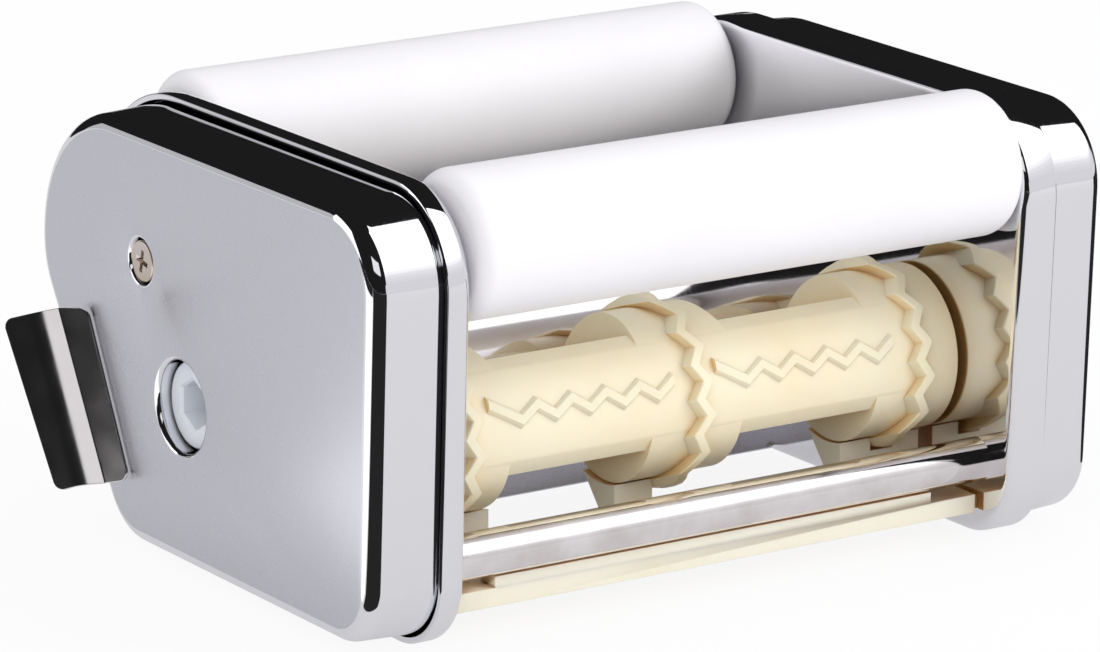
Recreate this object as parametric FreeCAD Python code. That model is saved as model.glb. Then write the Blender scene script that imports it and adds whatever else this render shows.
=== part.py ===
import FreeCAD, Part
import math
import os

# Ravioli attachment of a hand cranked pasta machine, all sizes in millimetres.
# X runs along the rolls with the middle plane at X = 0, the front looks to -Y,
# Z is up and the feet stand on Z = 0.

# Rolls and the room between the side frames
ROLL_HALF = 73.0
ROLL_SIDE_GAP = 3.5

# Side frames: pressed trays with an outward flange
FRAME_INNER_X = ROLL_HALF + ROLL_SIDE_GAP
FLANGE_DEPTH = 6.5
FLANGE_END_X = FRAME_INNER_X + FLANGE_DEPTH
SHEET = 1.5
FRAME_TOP_Z = 105.7
FRONT_LEAN_DEG = 2.45
BACK_SLANT_DEG = 31.8
FRONT_TOP_Y = -55.2
FRONT_TOP_R = 22.0
FRONT_BOTTOM_R = 18.0
BACK_TOP_Y = 41.6
BACK_TOP_R = 38.0
BACK_LOWER_R = 26.0
BACK_BOTTOM_R = 20.0

# Covers: cups that sit inside the flange
COVER_DEPTH = 23.5
COVER_FACE_X = FRAME_INNER_X + COVER_DEPTH
COVER_SHEET = 1.0
COVER_RIM_DEPTH = 1.9
COVER_RIM_X = FRAME_INNER_X + COVER_RIM_DEPTH
COVER_RIM_INSET = 2.0
COVER_FACE_INSET = 3.1
COVER_EDGE = 1.8
COVER_WALL = 1.5
DIMPLE_DEPTH = 2.8
DIMPLE_R = 7.0
POST_ACROSS_FLATS = 9.0
SCREW_HEAD_R = 5.0
POST_Y = 27.8

# White feed rollers on fixed axles
FEED_R = 17.2
FEED_EDGE = 3.0
FEED_DROP = 14.6
FEED_Z = FRAME_TOP_Z - FEED_DROP
FRONT_FEED_REACH = 7.2
FRONT_FEED_Y = FRONT_TOP_Y - FRONT_FEED_REACH
REAR_FEED_INSET = 27.1
REAR_FEED_Y = BACK_TOP_Y + BACK_TOP_R - REAR_FEED_INSET
AXLE_R = 4.0
RUNNING_GAP = 0.05

# Forming roll with pockets and crests
ROLL_Y = -35.4
ROLL_Z = 40.8
ROLL_R = 19.8
LAND_TILT_DEG = 18.6
PATTERN_X = -1.1
CENTRE_RING_HALF = 12.5
END_RING_WIDTH = 22.0
END_RING_START = ROLL_HALF - END_RING_WIDTH
POCKET_FLOOR = 13.3
POCKET_FLOOR_HALF = 13.3
POCKET_LEAD = 1.6
LAND_HALF = 10.7
CREST_HEIGHT = 3.1
CREST_R = ROLL_R + CREST_HEIGHT
CREST_WIDTH = 3.0
CREST_SWING = 1.3
CREST_PITCH = 8.15
CREST_END_INSET = 10.6
CREST_OFFSET_X = ROLL_HALF - CREST_END_INSET
CREST_SPOTS = (PATTERN_X - CREST_OFFSET_X, PATTERN_X, PATTERN_X + CREST_OFFSET_X)

# Posts of the cover screws stand clear above the gear pair
POST_RISE = 30.8
POST_Z = ROLL_Z + POST_RISE

# Gear pair between the left frame and its cover
GEAR_MODULE = 2.0
COUNTER_TEETH = 25
FORMING_TEETH = 21
PRESSURE_ANGLE_DEG = 20.0
BACKLASH = 0.15
GEAR_OFFSET = 6.0
GEAR_START_X = FRAME_INNER_X + GEAR_OFFSET
GEAR_WIDTH = 8.0
GEAR_HUB_R = 8.5
GEAR_HUB_LENGTH = 3.5

# Counter roller: steel tube closed by end plugs
AXIS_SPACING = GEAR_MODULE * (COUNTER_TEETH + FORMING_TEETH) / 2
COUNTER_Y = ROLL_Y + AXIS_SPACING
CREST_GAP = 0.2
COUNTER_R = AXIS_SPACING - CREST_R - CREST_GAP
COUNTER_WALL = 2.0
PLUG_LENGTH = 6.0

# Shafts in hexagonal bushes that can not turn in the frames
SHAFT_R = 5.0
SHAFT_RIGHT_REACH = 9.5
FORMING_SHAFT_LEFT_REACH = 19.0
COUNTER_SHAFT_LEFT_REACH = 11.5
BUSH_ACROSS_FLATS = 15.0
BUSH_ROLL_GAP = 0.2
BUSH_START_X = ROLL_HALF + BUSH_ROLL_GAP
BUSH_REACH = 4.5
BUSH_END_X = FRAME_INNER_X + BUSH_REACH

# Crank hole in the left cover and the crank socket in it
CRANK_HOLE_R = 10.8
SOCKET_R = 10.3
SOCKET_SETBACK = 2.0
SOCKET_FACE_X = COVER_FACE_X - SOCKET_SETBACK
SOCKET_OFFSET = 5.5
SOCKET_INNER_X = FRAME_INNER_X + SOCKET_OFFSET
SOCKET_DEPTH = 10.0
HEX_ACROSS_FLATS = 10.5

# Tie rods and their screws
ROD_R = 5.25
FRONT_ROD_REACH = 6.3
FRONT_ROD_Y = FRONT_TOP_Y - FRONT_ROD_REACH
FRONT_ROD_Z = 18.7
REAR_ROD_INSET = 11.0
REAR_ROD_Z = 14.5
SCREW_HEAD_AF = 8.0
SCREW_HEAD = 3.0

# Scraper comb
COMB_HALF = ROLL_HALF
COMB_FRONT_Y = -62.6
COMB_BOTTOM_Z = 6.0
COMB_BEAD_Z = 13.0
COMB_BASE_Z = 10.4
COMB_BEAD_BACK_Y = -56.6
COMB_BEAD_INSET = 15.0
COMB_BEAD_HALF = COMB_HALF - COMB_BEAD_INSET
FINGER_FRONT_Y = -41.0
FINGER_TIP_Y = -28.0
FINGER_HEEL_Y = -36.0
FINGER_HEEL_Z = 12.5
FINGER_FOOT_Y = -38.0
FINGER_GAP = 0.4
FINGER_TOP_Z = 24.0
CENTRE_FINGER_LEFT_X = -14.8
CENTRE_FINGER_RIGHT_X = -1.8
END_FINGER_LEAD = 1.7
END_FINGER_INNER_X = END_RING_START - END_FINGER_LEAD
COMB_TAB_FRONT_Y = -60.0
COMB_TAB_BACK_Y = -48.0
COMB_TAB_TOP_Z = 9.4
TAB_REACH = 3.3
TAB_END_X = FRAME_INNER_X + TAB_REACH

# Rear guide plate, parallel to the slanted back
PLATE_BACK_GAP = 20.4
PLATE_LOW_Z = 1.0
PLATE_SLOPE_LENGTH = 72.0
PLATE_SHEET = 1.2
PLATE_LIP = 6.0
PLATE_END_GAP = 0.3
PLATE_TAB_WIDTH = 12.0
PLATE_TAB_CENTRES = (18.0, 56.0)

# Mounting brackets on the slanted back of the covers
BRACKET_SHEET = 1.2
BRACKET_LOW_Z = 13.6
BRACKET_LENGTH = 43.7
BRACKET_FACE_TOP = 14.0
BRACKET_FACE_BOTTOM = 9.0
BRACKET_LEG_TOP = 14.5
BRACKET_LEG_BOTTOM = 12.0
BRACKET_FACE_TAPER = 1.5
BRACKET_LEG_TAPER = 1.0
BRACKET_CORNER_R = 3.0

X_AXIS = FreeCAD.Vector(1, 0, 0)
ORIGIN = FreeCAD.Vector(0, 0, 0)
SIDES = (-1, 1)


def point(x, y, z):
    return FreeCAD.Vector(x, y, z)


def rod_x(x0, x1, y, z, radius):
    """Cylinder along X between two X values."""
    return Part.makeCylinder(radius, abs(x1 - x0), point(min(x0, x1), y, z), X_AXIS)


def box(x0, x1, y0, y1, z0, z1):
    low = point(min(x0, x1), min(y0, y1), min(z0, z1))
    return Part.makeBox(abs(x1 - x0), abs(y1 - y0), abs(z1 - z0), low)


def prism_x(points, x0, x1):
    """Polygon given in Y and Z, carried from x0 to x1."""
    corners = [point(x0, y, z) for y, z in points]
    face = Part.Face(Part.makePolygon(corners + corners[:1]))
    return face.extrude(point(x1 - x0, 0, 0))


def mirrored(shape):
    return shape.mirror(ORIGIN, X_AXIS)


def for_side(left_shape, side):
    """Shape built on the left, mirrored when it is wanted on the right."""
    return left_shape if side < 0 else mirrored(left_shape)


def unit(degrees):
    """Unit direction in the YZ plane, 0 degrees to the back and 90 degrees up."""
    angle = math.radians(degrees)
    return math.cos(angle), math.sin(angle)


def tangent_centre_y(known, known_r, centre_z, radius, degrees):
    """Y of a corner centre whose arc shares the tangent line of another corner."""
    ny, nz = unit(degrees)
    reach = ny * known[0] + nz * known[1] + known_r
    return (reach - radius - nz * centre_z) / ny


def side_corners():
    """Corner arcs of the side outline: centre, radius, start and end angle."""
    front_normal = 180 + FRONT_LEAN_DEG
    back_normal = 360 - BACK_SLANT_DEG
    front_top = (FRONT_TOP_Y, FRAME_TOP_Z - FRONT_TOP_R)
    front_low_y = tangent_centre_y(front_top, FRONT_TOP_R, FRONT_BOTTOM_R,
                                   FRONT_BOTTOM_R, front_normal)
    back_top = (BACK_TOP_Y, FRAME_TOP_Z - BACK_TOP_R)
    back_mid = (BACK_TOP_Y + BACK_TOP_R - BACK_LOWER_R, back_top[1])
    back_low_y = tangent_centre_y(back_mid, BACK_LOWER_R, BACK_BOTTOM_R,
                                  BACK_BOTTOM_R, back_normal)
    return [
        (back_top, BACK_TOP_R, 90, 0),
        (back_mid, BACK_LOWER_R, 360, back_normal),
        ((back_low_y, BACK_BOTTOM_R), BACK_BOTTOM_R, back_normal, 270),
        ((front_low_y, FRONT_BOTTOM_R), FRONT_BOTTOM_R, 270, front_normal),
        (front_top, FRONT_TOP_R, front_normal, 90),
    ]


def outline_wire(inset, x):
    """Side outline, moved inwards by an inset, in the plane X = x."""
    arcs = []
    for centre, radius, start, end in side_corners():
        ends = []
        for angle in (start, (start + end) / 2, end):
            dy, dz = unit(angle)
            reach = radius - inset
            ends.append(point(x, centre[0] + reach * dy, centre[1] + reach * dz))
        arcs.append(ends)
    edges = []
    for index, (start, middle, end) in enumerate(arcs):
        edges.append(Part.Arc(start, middle, end).toShape())
        following = arcs[(index + 1) % len(arcs)][0]
        if (following - end).Length > 1e-6:
            edges.append(Part.makeLine(end, following))
    return Part.Wire(edges)


def outline_prism(inset, x0, x1):
    """Side outline with a constant inset, carried from x0 to x1."""
    return Part.Face(outline_wire(inset, x0)).extrude(point(x1 - x0, 0, 0))


def drafted_solid(inset0, x0, inset1, x1):
    """Side outline carried from x0 to x1 while its inset changes."""
    return Part.makeLoft([outline_wire(inset0, x0), outline_wire(inset1, x1)], True, True)


def slope_frame():
    """Foot point on the slanted back line of the covers, with its directions."""
    up = (math.sin(math.radians(BACK_SLANT_DEG)), math.cos(math.radians(BACK_SLANT_DEG)))
    out = (up[1], -up[0])
    return up, out


def slope_point(base, along, outward):
    up, out = slope_frame()
    return (base[0] + up[0] * along + out[0] * outward,
            base[1] + up[1] * along + out[1] * outward)


def slope_box(base, along0, along1, out0, out1, x0, x1):
    """Box whose cross-section is turned to lie along the slanted back."""
    corners = [(along0, out0), (along1, out0), (along1, out1), (along0, out1)]
    return prism_x([slope_point(base, a, o) for a, o in corners], x0, x1)


def back_line_y(z):
    """Y of the slanted back of the side frames at a height."""
    centre, radius, _, end = side_corners()[1]
    dy, dz = unit(end)
    up, _ = slope_frame()
    return centre[0] + radius * dy + (z - centre[1] - radius * dz) * up[0] / up[1]


def rear_rod_y():
    return back_line_y(REAR_ROD_Z) - REAR_ROD_INSET


def plate_foot():
    """Y and Z of the lower edge of the rear guide plate."""
    return back_line_y(PLATE_LOW_Z) - PLATE_BACK_GAP, PLATE_LOW_Z


def rod_axes():
    """Y and Z of every rod that is screwed between the side frames."""
    return [(FRONT_FEED_Y, FEED_Z), (REAR_FEED_Y, FEED_Z),
            (FRONT_ROD_Y, FRONT_ROD_Z), (rear_rod_y(), REAR_ROD_Z)]


def hexagon(y, z, across_flats, x0, x1):
    """Hexagonal prism along X with a corner towards the front."""
    corner = across_flats / math.sqrt(3)
    points = []
    for step in range(6):
        dy, dz = unit(60 * step)
        points.append((y + corner * dy, z + corner * dz))
    return prism_x(points, x0, x1)


def side_frame(side):
    """Pressed tray with the holes for bushes and tabs."""
    plate_back = FRAME_INNER_X + SHEET
    tray = outline_prism(0, -FLANGE_END_X, -FRAME_INNER_X)
    tray = tray.cut(outline_prism(SHEET, -FLANGE_END_X, -plate_back))
    cutters = []
    for y in (ROLL_Y, COUNTER_Y):
        cutters.append(hexagon(y, ROLL_Z, BUSH_ACROSS_FLATS, -plate_back, -FRAME_INNER_X))
    cutters.append(comb_tab(-FRAME_INNER_X, -plate_back))
    cutters.extend(plate_tabs(-FRAME_INNER_X, -plate_back))
    return for_side(tray.cut(cutters), side)


def cover_cup():
    """Deep drawn cup with drafted walls, on the left."""
    edge_x = -COVER_FACE_X + COVER_EDGE
    shell = drafted_solid(COVER_RIM_INSET, -COVER_RIM_X, COVER_FACE_INSET, edge_x)
    shell = shell.fuse(drafted_solid(COVER_FACE_INSET, edge_x,
                                     COVER_FACE_INSET + COVER_EDGE, -COVER_FACE_X))
    return shell.cut(outline_prism(COVER_FACE_INSET + COVER_WALL, -COVER_RIM_X,
                                   -COVER_FACE_X + COVER_SHEET))


def side_cover(side):
    """Cover with its screw dimple, and the crank hole on the left only."""
    cover = cover_cup()
    cover = cover.fuse(rod_x(-COVER_FACE_X + COVER_SHEET, -COVER_FACE_X + DIMPLE_DEPTH,
                             POST_Y, POST_Z, DIMPLE_R))
    cover = cover.cut(screw_head())
    if side > 0:
        return mirrored(cover)
    return cover.cut(rod_x(-COVER_FACE_X, -COVER_FACE_X + COVER_SHEET,
                           COUNTER_Y, ROLL_Z, CRANK_HOLE_R))


def screw_head():
    """Head of the cover screw, flush with the cover face on the left."""
    return rod_x(-COVER_FACE_X, -COVER_FACE_X + DIMPLE_DEPTH, POST_Y, POST_Z, SCREW_HEAD_R)


def cover_posts():
    """Hexagonal posts between the frames and the covers."""
    post = hexagon(POST_Y, POST_Z, POST_ACROSS_FLATS, -FRAME_INNER_X - SHEET,
                   -COVER_FACE_X + DIMPLE_DEPTH)
    return Part.Compound([post, mirrored(post)])


def cover_screws():
    """Heads of the screws that hold the covers to their posts."""
    return Part.Compound([screw_head(), mirrored(screw_head())])


def turned_solid(profile, y, z):
    """Solid of revolution about an axis along X, from radius and X values."""
    corners = [point(x, y, z + radius) for radius, x in profile]
    face = Part.Face(Part.makePolygon(corners + corners[:1]))
    return face.revolve(point(0, y, z), X_AXIS, 360)


def feed_roller(y):
    """White roller with broken edges, bored for its axle."""
    bore_r = AXLE_R + RUNNING_GAP
    half = [(bore_r, ROLL_HALF), (FEED_R - FEED_EDGE, ROLL_HALF),
            (FEED_R, ROLL_HALF - FEED_EDGE)]
    return turned_solid(half + [(r, -x) for r, x in reversed(half)], y, FEED_Z)


def frame_rod(y, z, radius):
    """Rod that reaches from one side frame to the other."""
    return rod_x(-FRAME_INNER_X, FRAME_INNER_X, y, z, radius)


def rod_screws():
    """Heads of the eight identical screws that hold the rods to the frames."""
    plate_back = FRAME_INNER_X + SHEET
    screws = []
    for y, z in rod_axes():
        head = hexagon(y, z, SCREW_HEAD_AF, -plate_back, -plate_back - SCREW_HEAD)
        screws.extend([head, mirrored(head)])
    return Part.Compound(screws)


def roll_point(along, across):
    """Point on a roll cross-section: towards the land and across it."""
    land_y, land_z = unit(180 - LAND_TILT_DEG)
    return (ROLL_Y + along * land_y - across * land_z,
            ROLL_Z + along * land_z + across * land_y)


def pocket_cutters():
    """Prisms that cut the four pockets beside the lands."""
    land_edge = math.sqrt(ROLL_R ** 2 - LAND_HALF ** 2)
    out_along = POCKET_FLOOR_HALF + (land_edge - POCKET_FLOOR_HALF) * POCKET_LEAD
    out_across = POCKET_FLOOR + (LAND_HALF - POCKET_FLOOR) * POCKET_LEAD
    clear = CREST_R + 1
    half = [(POCKET_FLOOR_HALF, POCKET_FLOOR), (out_along, out_across),
            (clear, ROLL_R), (clear, clear)]
    shape = half + [(-a, c) for a, c in reversed(half)]
    cutters = []
    for face in SIDES:
        section = [roll_point(a, face * c) for a, c in shape]
        for side in SIDES:
            cutters.append(prism_x(section, PATTERN_X + side * CENTRE_RING_HALF,
                                   PATTERN_X + side * END_RING_START))
    return cutters


def crest(x):
    """Zigzag crest around a ring, straight along the pull of its two-part mould."""
    half_pitch = CREST_PITCH / 2
    steps = math.ceil(CREST_R / half_pitch)
    path = [(x + CREST_SWING * (-1) ** step, step * half_pitch)
            for step in range(-steps, steps + 1)]
    half = CREST_WIDTH / 2
    outline = [(px - half, across) for px, across in path]
    outline += [(px + half, across) for px, across in reversed(path)]
    reach = CREST_R + 1
    corners = [point(px, *roll_point(-reach, across)) for px, across in outline]
    pull_y, pull_z = unit(180 - LAND_TILT_DEG)
    face = Part.Face(Part.makePolygon(corners + corners[:1]))
    band = face.extrude(point(0, 2 * reach * pull_y, 2 * reach * pull_z))
    half_band = half + CREST_SWING + 1
    return band.common(rod_x(x - half_band, x + half_band, ROLL_Y, ROLL_Z, CREST_R))


def forming_roll():
    """Moulded roll with rings, crests, lands and pockets."""
    roll = rod_x(-ROLL_HALF, ROLL_HALF, ROLL_Y, ROLL_Z, ROLL_R)
    roll = roll.cut(pocket_cutters())
    roll = roll.fuse([crest(x) for x in CREST_SPOTS])
    return roll.cut(rod_x(-ROLL_HALF, ROLL_HALF, ROLL_Y, ROLL_Z, SHAFT_R)).removeSplitter()


def counter_roller():
    """Steel tube with pressed end plugs, bored for its shaft."""
    inner_r = COUNTER_R - COUNTER_WALL
    plug_x = ROLL_HALF - PLUG_LENGTH
    half = [(inner_r, plug_x), (SHAFT_R, plug_x), (SHAFT_R, ROLL_HALF),
            (COUNTER_R, ROLL_HALF)]
    return turned_solid(half + [(r, -x) for r, x in reversed(half)], COUNTER_Y, ROLL_Z)


def roll_shaft(y, left_reach):
    return rod_x(-FRAME_INNER_X - left_reach, FRAME_INNER_X + SHAFT_RIGHT_REACH,
                 y, ROLL_Z, SHAFT_R)


def bushes(y):
    """Bush pressed into each side frame."""
    bush = hexagon(y, ROLL_Z, BUSH_ACROSS_FLATS, -BUSH_START_X, -BUSH_END_X)
    bush = bush.cut(rod_x(-BUSH_START_X, -BUSH_END_X, y, ROLL_Z, SHAFT_R + RUNNING_GAP))
    return Part.Compound([bush, mirrored(bush)])


def involute_turn(roll):
    """Angle by which an involute has turned away from its start."""
    return roll - math.atan(roll)


def gear_blank(teeth, y, tooth_at_deg):
    """Spur gear at the left, one tooth centred on a given direction."""
    pitch_r = GEAR_MODULE * teeth / 2
    base_r = pitch_r * math.cos(math.radians(PRESSURE_ANGLE_DEG))
    root_r = pitch_r - 1.25 * GEAR_MODULE
    tip_r = pitch_r + GEAR_MODULE
    pitch_roll = math.tan(math.radians(PRESSURE_ANGLE_DEG))
    pitch_turn = involute_turn(pitch_roll)
    half_tooth = math.pi / (2 * teeth) - BACKLASH / (2 * pitch_r)
    tip_roll = math.sqrt((tip_r / base_r) ** 2 - 1)
    start_roll = math.sqrt(max((root_r / base_r) ** 2 - 1, 0.0))
    flank = []
    for reach, roll in ((root_r, start_roll), (tip_r, tip_roll)):
        flank.append((reach, involute_turn(roll) - half_tooth - pitch_turn))
    points = []
    for tooth in range(teeth):
        centre = math.radians(tooth_at_deg) + 2 * math.pi * tooth / teeth
        for reach, turn in flank + [(r, -t) for r, t in reversed(flank)]:
            points.append((y + reach * math.cos(centre + turn),
                           ROLL_Z + reach * math.sin(centre + turn)))
    return prism_x(points, -GEAR_START_X, -GEAR_START_X - GEAR_WIDTH)


def counter_roller_gear():
    """Gear on the crank socket, a tooth towards the forming roll."""
    gear = gear_blank(COUNTER_TEETH, COUNTER_Y, 180)
    return gear.cut(rod_x(-GEAR_START_X, -GEAR_START_X - GEAR_WIDTH,
                          COUNTER_Y, ROLL_Z, SOCKET_R))


def forming_roll_gear():
    """Gear on the forming roll's shaft, a gap towards the counter roller."""
    gear = gear_blank(FORMING_TEETH, ROLL_Y, 180.0 / FORMING_TEETH)
    hub_x = GEAR_START_X + GEAR_WIDTH
    gear = gear.fuse(rod_x(-hub_x, -hub_x - GEAR_HUB_LENGTH, ROLL_Y, ROLL_Z, GEAR_HUB_R))
    return gear.cut(rod_x(-GEAR_START_X, -hub_x - GEAR_HUB_LENGTH,
                          ROLL_Y, ROLL_Z, SHAFT_R))


def crank_socket():
    """Nylon hub on the crank shaft, with the hexagonal opening for the crank."""
    hub = rod_x(-SOCKET_INNER_X, -SOCKET_FACE_X, COUNTER_Y, ROLL_Z, SOCKET_R)
    floor = SOCKET_FACE_X - SOCKET_DEPTH
    hub = hub.cut(hexagon(COUNTER_Y, ROLL_Z, HEX_ACROSS_FLATS, -SOCKET_FACE_X, -floor))
    return hub.cut(rod_x(-SOCKET_INNER_X, -floor, COUNTER_Y, ROLL_Z, SHAFT_R))


def comb_tab(x0, x1):
    return box(x0, x1, COMB_TAB_FRONT_Y, COMB_TAB_BACK_Y, COMB_BOTTOM_Z, COMB_TAB_TOP_Z)


def scraper_finger(x0, x1):
    """Finger that rises under a ring and ends in a thin tip."""
    section = [(FINGER_FRONT_Y, COMB_BOTTOM_Z), (FINGER_FRONT_Y, FINGER_TOP_Z),
               (FINGER_TIP_Y, FINGER_TOP_Z), (FINGER_HEEL_Y, FINGER_HEEL_Z),
               (FINGER_FOOT_Y, COMB_BOTTOM_Z)]
    finger = prism_x(section, x0, x1)
    return finger.cut(rod_x(x0 - 1, x1 + 1, ROLL_Y, ROLL_Z, ROLL_R + FINGER_GAP))


def scraper_comb():
    """Moulded comb: front bead, base and fingers, with grooves for the crests."""
    comb = box(-COMB_HALF, COMB_HALF, COMB_FRONT_Y, FINGER_FRONT_Y,
               COMB_BOTTOM_Z, COMB_BASE_Z)
    comb = comb.fuse(box(-COMB_BEAD_HALF, COMB_BEAD_HALF, COMB_FRONT_Y, COMB_BEAD_BACK_Y,
                         COMB_BOTTOM_Z, COMB_BEAD_Z))
    parts = [scraper_finger(-COMB_HALF, -END_FINGER_INNER_X),
             scraper_finger(CENTRE_FINGER_LEFT_X, CENTRE_FINGER_RIGHT_X),
             scraper_finger(END_FINGER_INNER_X, COMB_HALF)]
    for side in SIDES:
        parts.append(comb_tab(side * (COMB_HALF - 1), side * TAB_END_X))
    comb = comb.fuse(parts)
    groove_half = CREST_WIDTH / 2 + CREST_SWING + FINGER_GAP
    for x in CREST_SPOTS:
        comb = comb.cut(rod_x(x - groove_half, x + groove_half, ROLL_Y, ROLL_Z,
                              CREST_R + FINGER_GAP))
    return comb.removeSplitter()


def plate_tabs(x0, x1):
    """Two tabs of the rear plate, between two X values."""
    half = PLATE_TAB_WIDTH / 2
    return [slope_box(plate_foot(), centre - half, centre + half, 0, PLATE_SHEET, x0, x1)
            for centre in PLATE_TAB_CENTRES]


def rear_guide_plate():
    """Sheet steel plate with a folded top lip and tabs at both ends."""
    base = plate_foot()
    half = FRAME_INNER_X - PLATE_END_GAP
    plate = slope_box(base, 0, PLATE_SLOPE_LENGTH, 0, PLATE_SHEET, -half, half)
    lip = slope_box(base, PLATE_SLOPE_LENGTH - PLATE_SHEET, PLATE_SLOPE_LENGTH,
                    0, PLATE_LIP, -half, half)
    parts = [lip]
    for side in SIDES:
        parts.extend(plate_tabs(side * (half - 1), side * TAB_END_X))
    return plate.fuse(parts).removeSplitter()


def bracket_base():
    """Point on the slanted back line of the cover face at the bracket's foot."""
    centre, radius, start, end = side_corners()[1]
    dy, dz = unit(end)
    reach = radius - COVER_FACE_INSET
    touch = (centre[0] + reach * dy, centre[1] + reach * dz)
    up, _ = slope_frame()
    along = (BRACKET_LOW_Z - touch[1]) / up[1]
    return (touch[0] + up[0] * along, BRACKET_LOW_Z)


def bracket_face_leg(base):
    """Leg that lies on the cover face."""
    inner = [(0, 0), (BRACKET_LENGTH, 0),
             (BRACKET_LENGTH - BRACKET_FACE_TAPER, -BRACKET_FACE_TOP),
             (BRACKET_FACE_TAPER, -BRACKET_FACE_BOTTOM)]
    leg = prism_x([slope_point(base, a, o) for a, o in inner],
                  -COVER_FACE_X, -COVER_FACE_X - BRACKET_SHEET)
    far = []
    for along, outward in inner[2:]:
        y, z = slope_point(base, along, outward)
        far.extend(e for e in leg.Edges if abs(e.CenterOfMass.y - y) < 1e-4
                   and abs(e.CenterOfMass.z - z) < 1e-4)
    return leg.makeFillet(BRACKET_CORNER_R, far)


def bracket_back_leg(base):
    """Leg that stands out from the cover in the slanted back plane."""
    root = -COVER_FACE_X
    outline = [(0, root), (BRACKET_LENGTH, root),
               (BRACKET_LENGTH - BRACKET_LEG_TAPER, root - BRACKET_LEG_TOP),
               (BRACKET_LEG_TAPER, root - BRACKET_LEG_BOTTOM)]
    corners = []
    for along, x in outline:
        y, z = slope_point(base, along, -BRACKET_SHEET)
        corners.append(point(x, y, z))
    _, out = slope_frame()
    face = Part.Face(Part.makePolygon(corners + corners[:1]))
    leg = face.extrude(point(0, out[0] * BRACKET_SHEET, out[1] * BRACKET_SHEET))
    far = [e for e in leg.Edges if e.CenterOfMass.x < root - BRACKET_LEG_BOTTOM + 0.1
           and e.Length < 2 * BRACKET_SHEET]
    return leg.makeFillet(BRACKET_CORNER_R, far)


def mounting_bracket(side):
    """Folded steel angle that hooks to the pasta machine."""
    base = bracket_base()
    bracket = bracket_face_leg(base).fuse(bracket_back_leg(base)).removeSplitter()
    return for_side(bracket, side)


NODES = {
    "left_side_frame": lambda: side_frame(-1),
    "right_side_frame": lambda: side_frame(1),
    "left_cover": lambda: side_cover(-1),
    "right_cover": lambda: side_cover(1),
    "cover_posts": cover_posts,
    "cover_screws": cover_screws,
    "front_feed_roller": lambda: feed_roller(FRONT_FEED_Y),
    "rear_feed_roller": lambda: feed_roller(REAR_FEED_Y),
    "front_feed_axle": lambda: frame_rod(FRONT_FEED_Y, FEED_Z, AXLE_R),
    "rear_feed_axle": lambda: frame_rod(REAR_FEED_Y, FEED_Z, AXLE_R),
    "forming_roll": forming_roll,
    "forming_roll_shaft": lambda: roll_shaft(ROLL_Y, FORMING_SHAFT_LEFT_REACH),
    "forming_roll_gear": forming_roll_gear,
    "forming_roll_bushes": lambda: bushes(ROLL_Y),
    "counter_roller": counter_roller,
    "counter_roller_shaft": lambda: roll_shaft(COUNTER_Y, COUNTER_SHAFT_LEFT_REACH),
    "counter_roller_gear": counter_roller_gear,
    "counter_roller_bushes": lambda: bushes(COUNTER_Y),
    "crank_socket": crank_socket,
    "front_tie_rod": lambda: frame_rod(FRONT_ROD_Y, FRONT_ROD_Z, ROD_R),
    "rear_tie_rod": lambda: frame_rod(rear_rod_y(), REAR_ROD_Z, ROD_R),
    "rod_screws": rod_screws,
    "scraper_comb": scraper_comb,
    "rear_guide_plate": rear_guide_plate,
    "left_mounting_bracket": lambda: mounting_bracket(-1),
    "right_mounting_bracket": lambda: mounting_bracket(1),
}

os.makedirs("parts", exist_ok=True)
for node, build in NODES.items():
    build().exportStep("parts/" + node + ".step")
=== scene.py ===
import logging
import math
from dataclasses import dataclass, field
from enum import Enum

import bmesh
import bpy
from bmesh.types import BMEdge, BMesh, BMFace, BMVert
from bpy.types import Material, Node, NodeSocket, NodeTree
from mathutils import Matrix, Vector


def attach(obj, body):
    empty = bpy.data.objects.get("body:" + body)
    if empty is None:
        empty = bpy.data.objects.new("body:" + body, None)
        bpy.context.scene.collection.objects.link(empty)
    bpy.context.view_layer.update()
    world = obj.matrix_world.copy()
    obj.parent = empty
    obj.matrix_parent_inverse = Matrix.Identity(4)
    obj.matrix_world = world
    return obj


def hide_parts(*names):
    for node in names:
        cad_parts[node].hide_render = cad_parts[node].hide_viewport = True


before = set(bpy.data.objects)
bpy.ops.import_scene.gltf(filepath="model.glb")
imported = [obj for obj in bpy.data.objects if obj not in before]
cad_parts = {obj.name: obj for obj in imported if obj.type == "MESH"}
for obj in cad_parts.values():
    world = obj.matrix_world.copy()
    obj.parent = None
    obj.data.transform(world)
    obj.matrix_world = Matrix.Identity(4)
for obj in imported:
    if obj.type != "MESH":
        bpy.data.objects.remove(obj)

# Ravioli attachment of a hand cranked pasta machine. Sizes are in millimetres, X runs
# along the rolls, the front looks to -Y, Z is up and the feet stand on Z = 0.

MM = 0.001
X_AXIS = (1.0, 0.0, 0.0)
PICTURE_WIDTH = 1100
WELD_MM = 0.002
SNAP_MM = 0.01
SHOULDER_DROP = 0.3
log = logging.getLogger("ravioli_attachment")


class Side(Enum):
    """Left is the crank side, at negative X."""

    LEFT = -1
    RIGHT = 1

    @property
    def word(self) -> str:
        """Name used in front of a piece's name."""
        return self.name.lower()


# Colour and node helpers


def linear(hex_colour: str) -> tuple[float, float, float, float]:
    """Turns an sRGB hex colour to linear RGBA.

    Args:
        hex_colour: six hex digits, such as "F3E8CC".

    Returns:
        Red, green, blue and alpha in linear light.
    """
    channels = []
    for start in (0, 2, 4):
        value = int(hex_colour[start:start + 2], 16) / 255
        channels.append(value / 12.92 if value <= 0.04045 else ((value + 0.055) / 1.055) ** 2.4)
    return (channels[0], channels[1], channels[2], 1.0)


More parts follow.
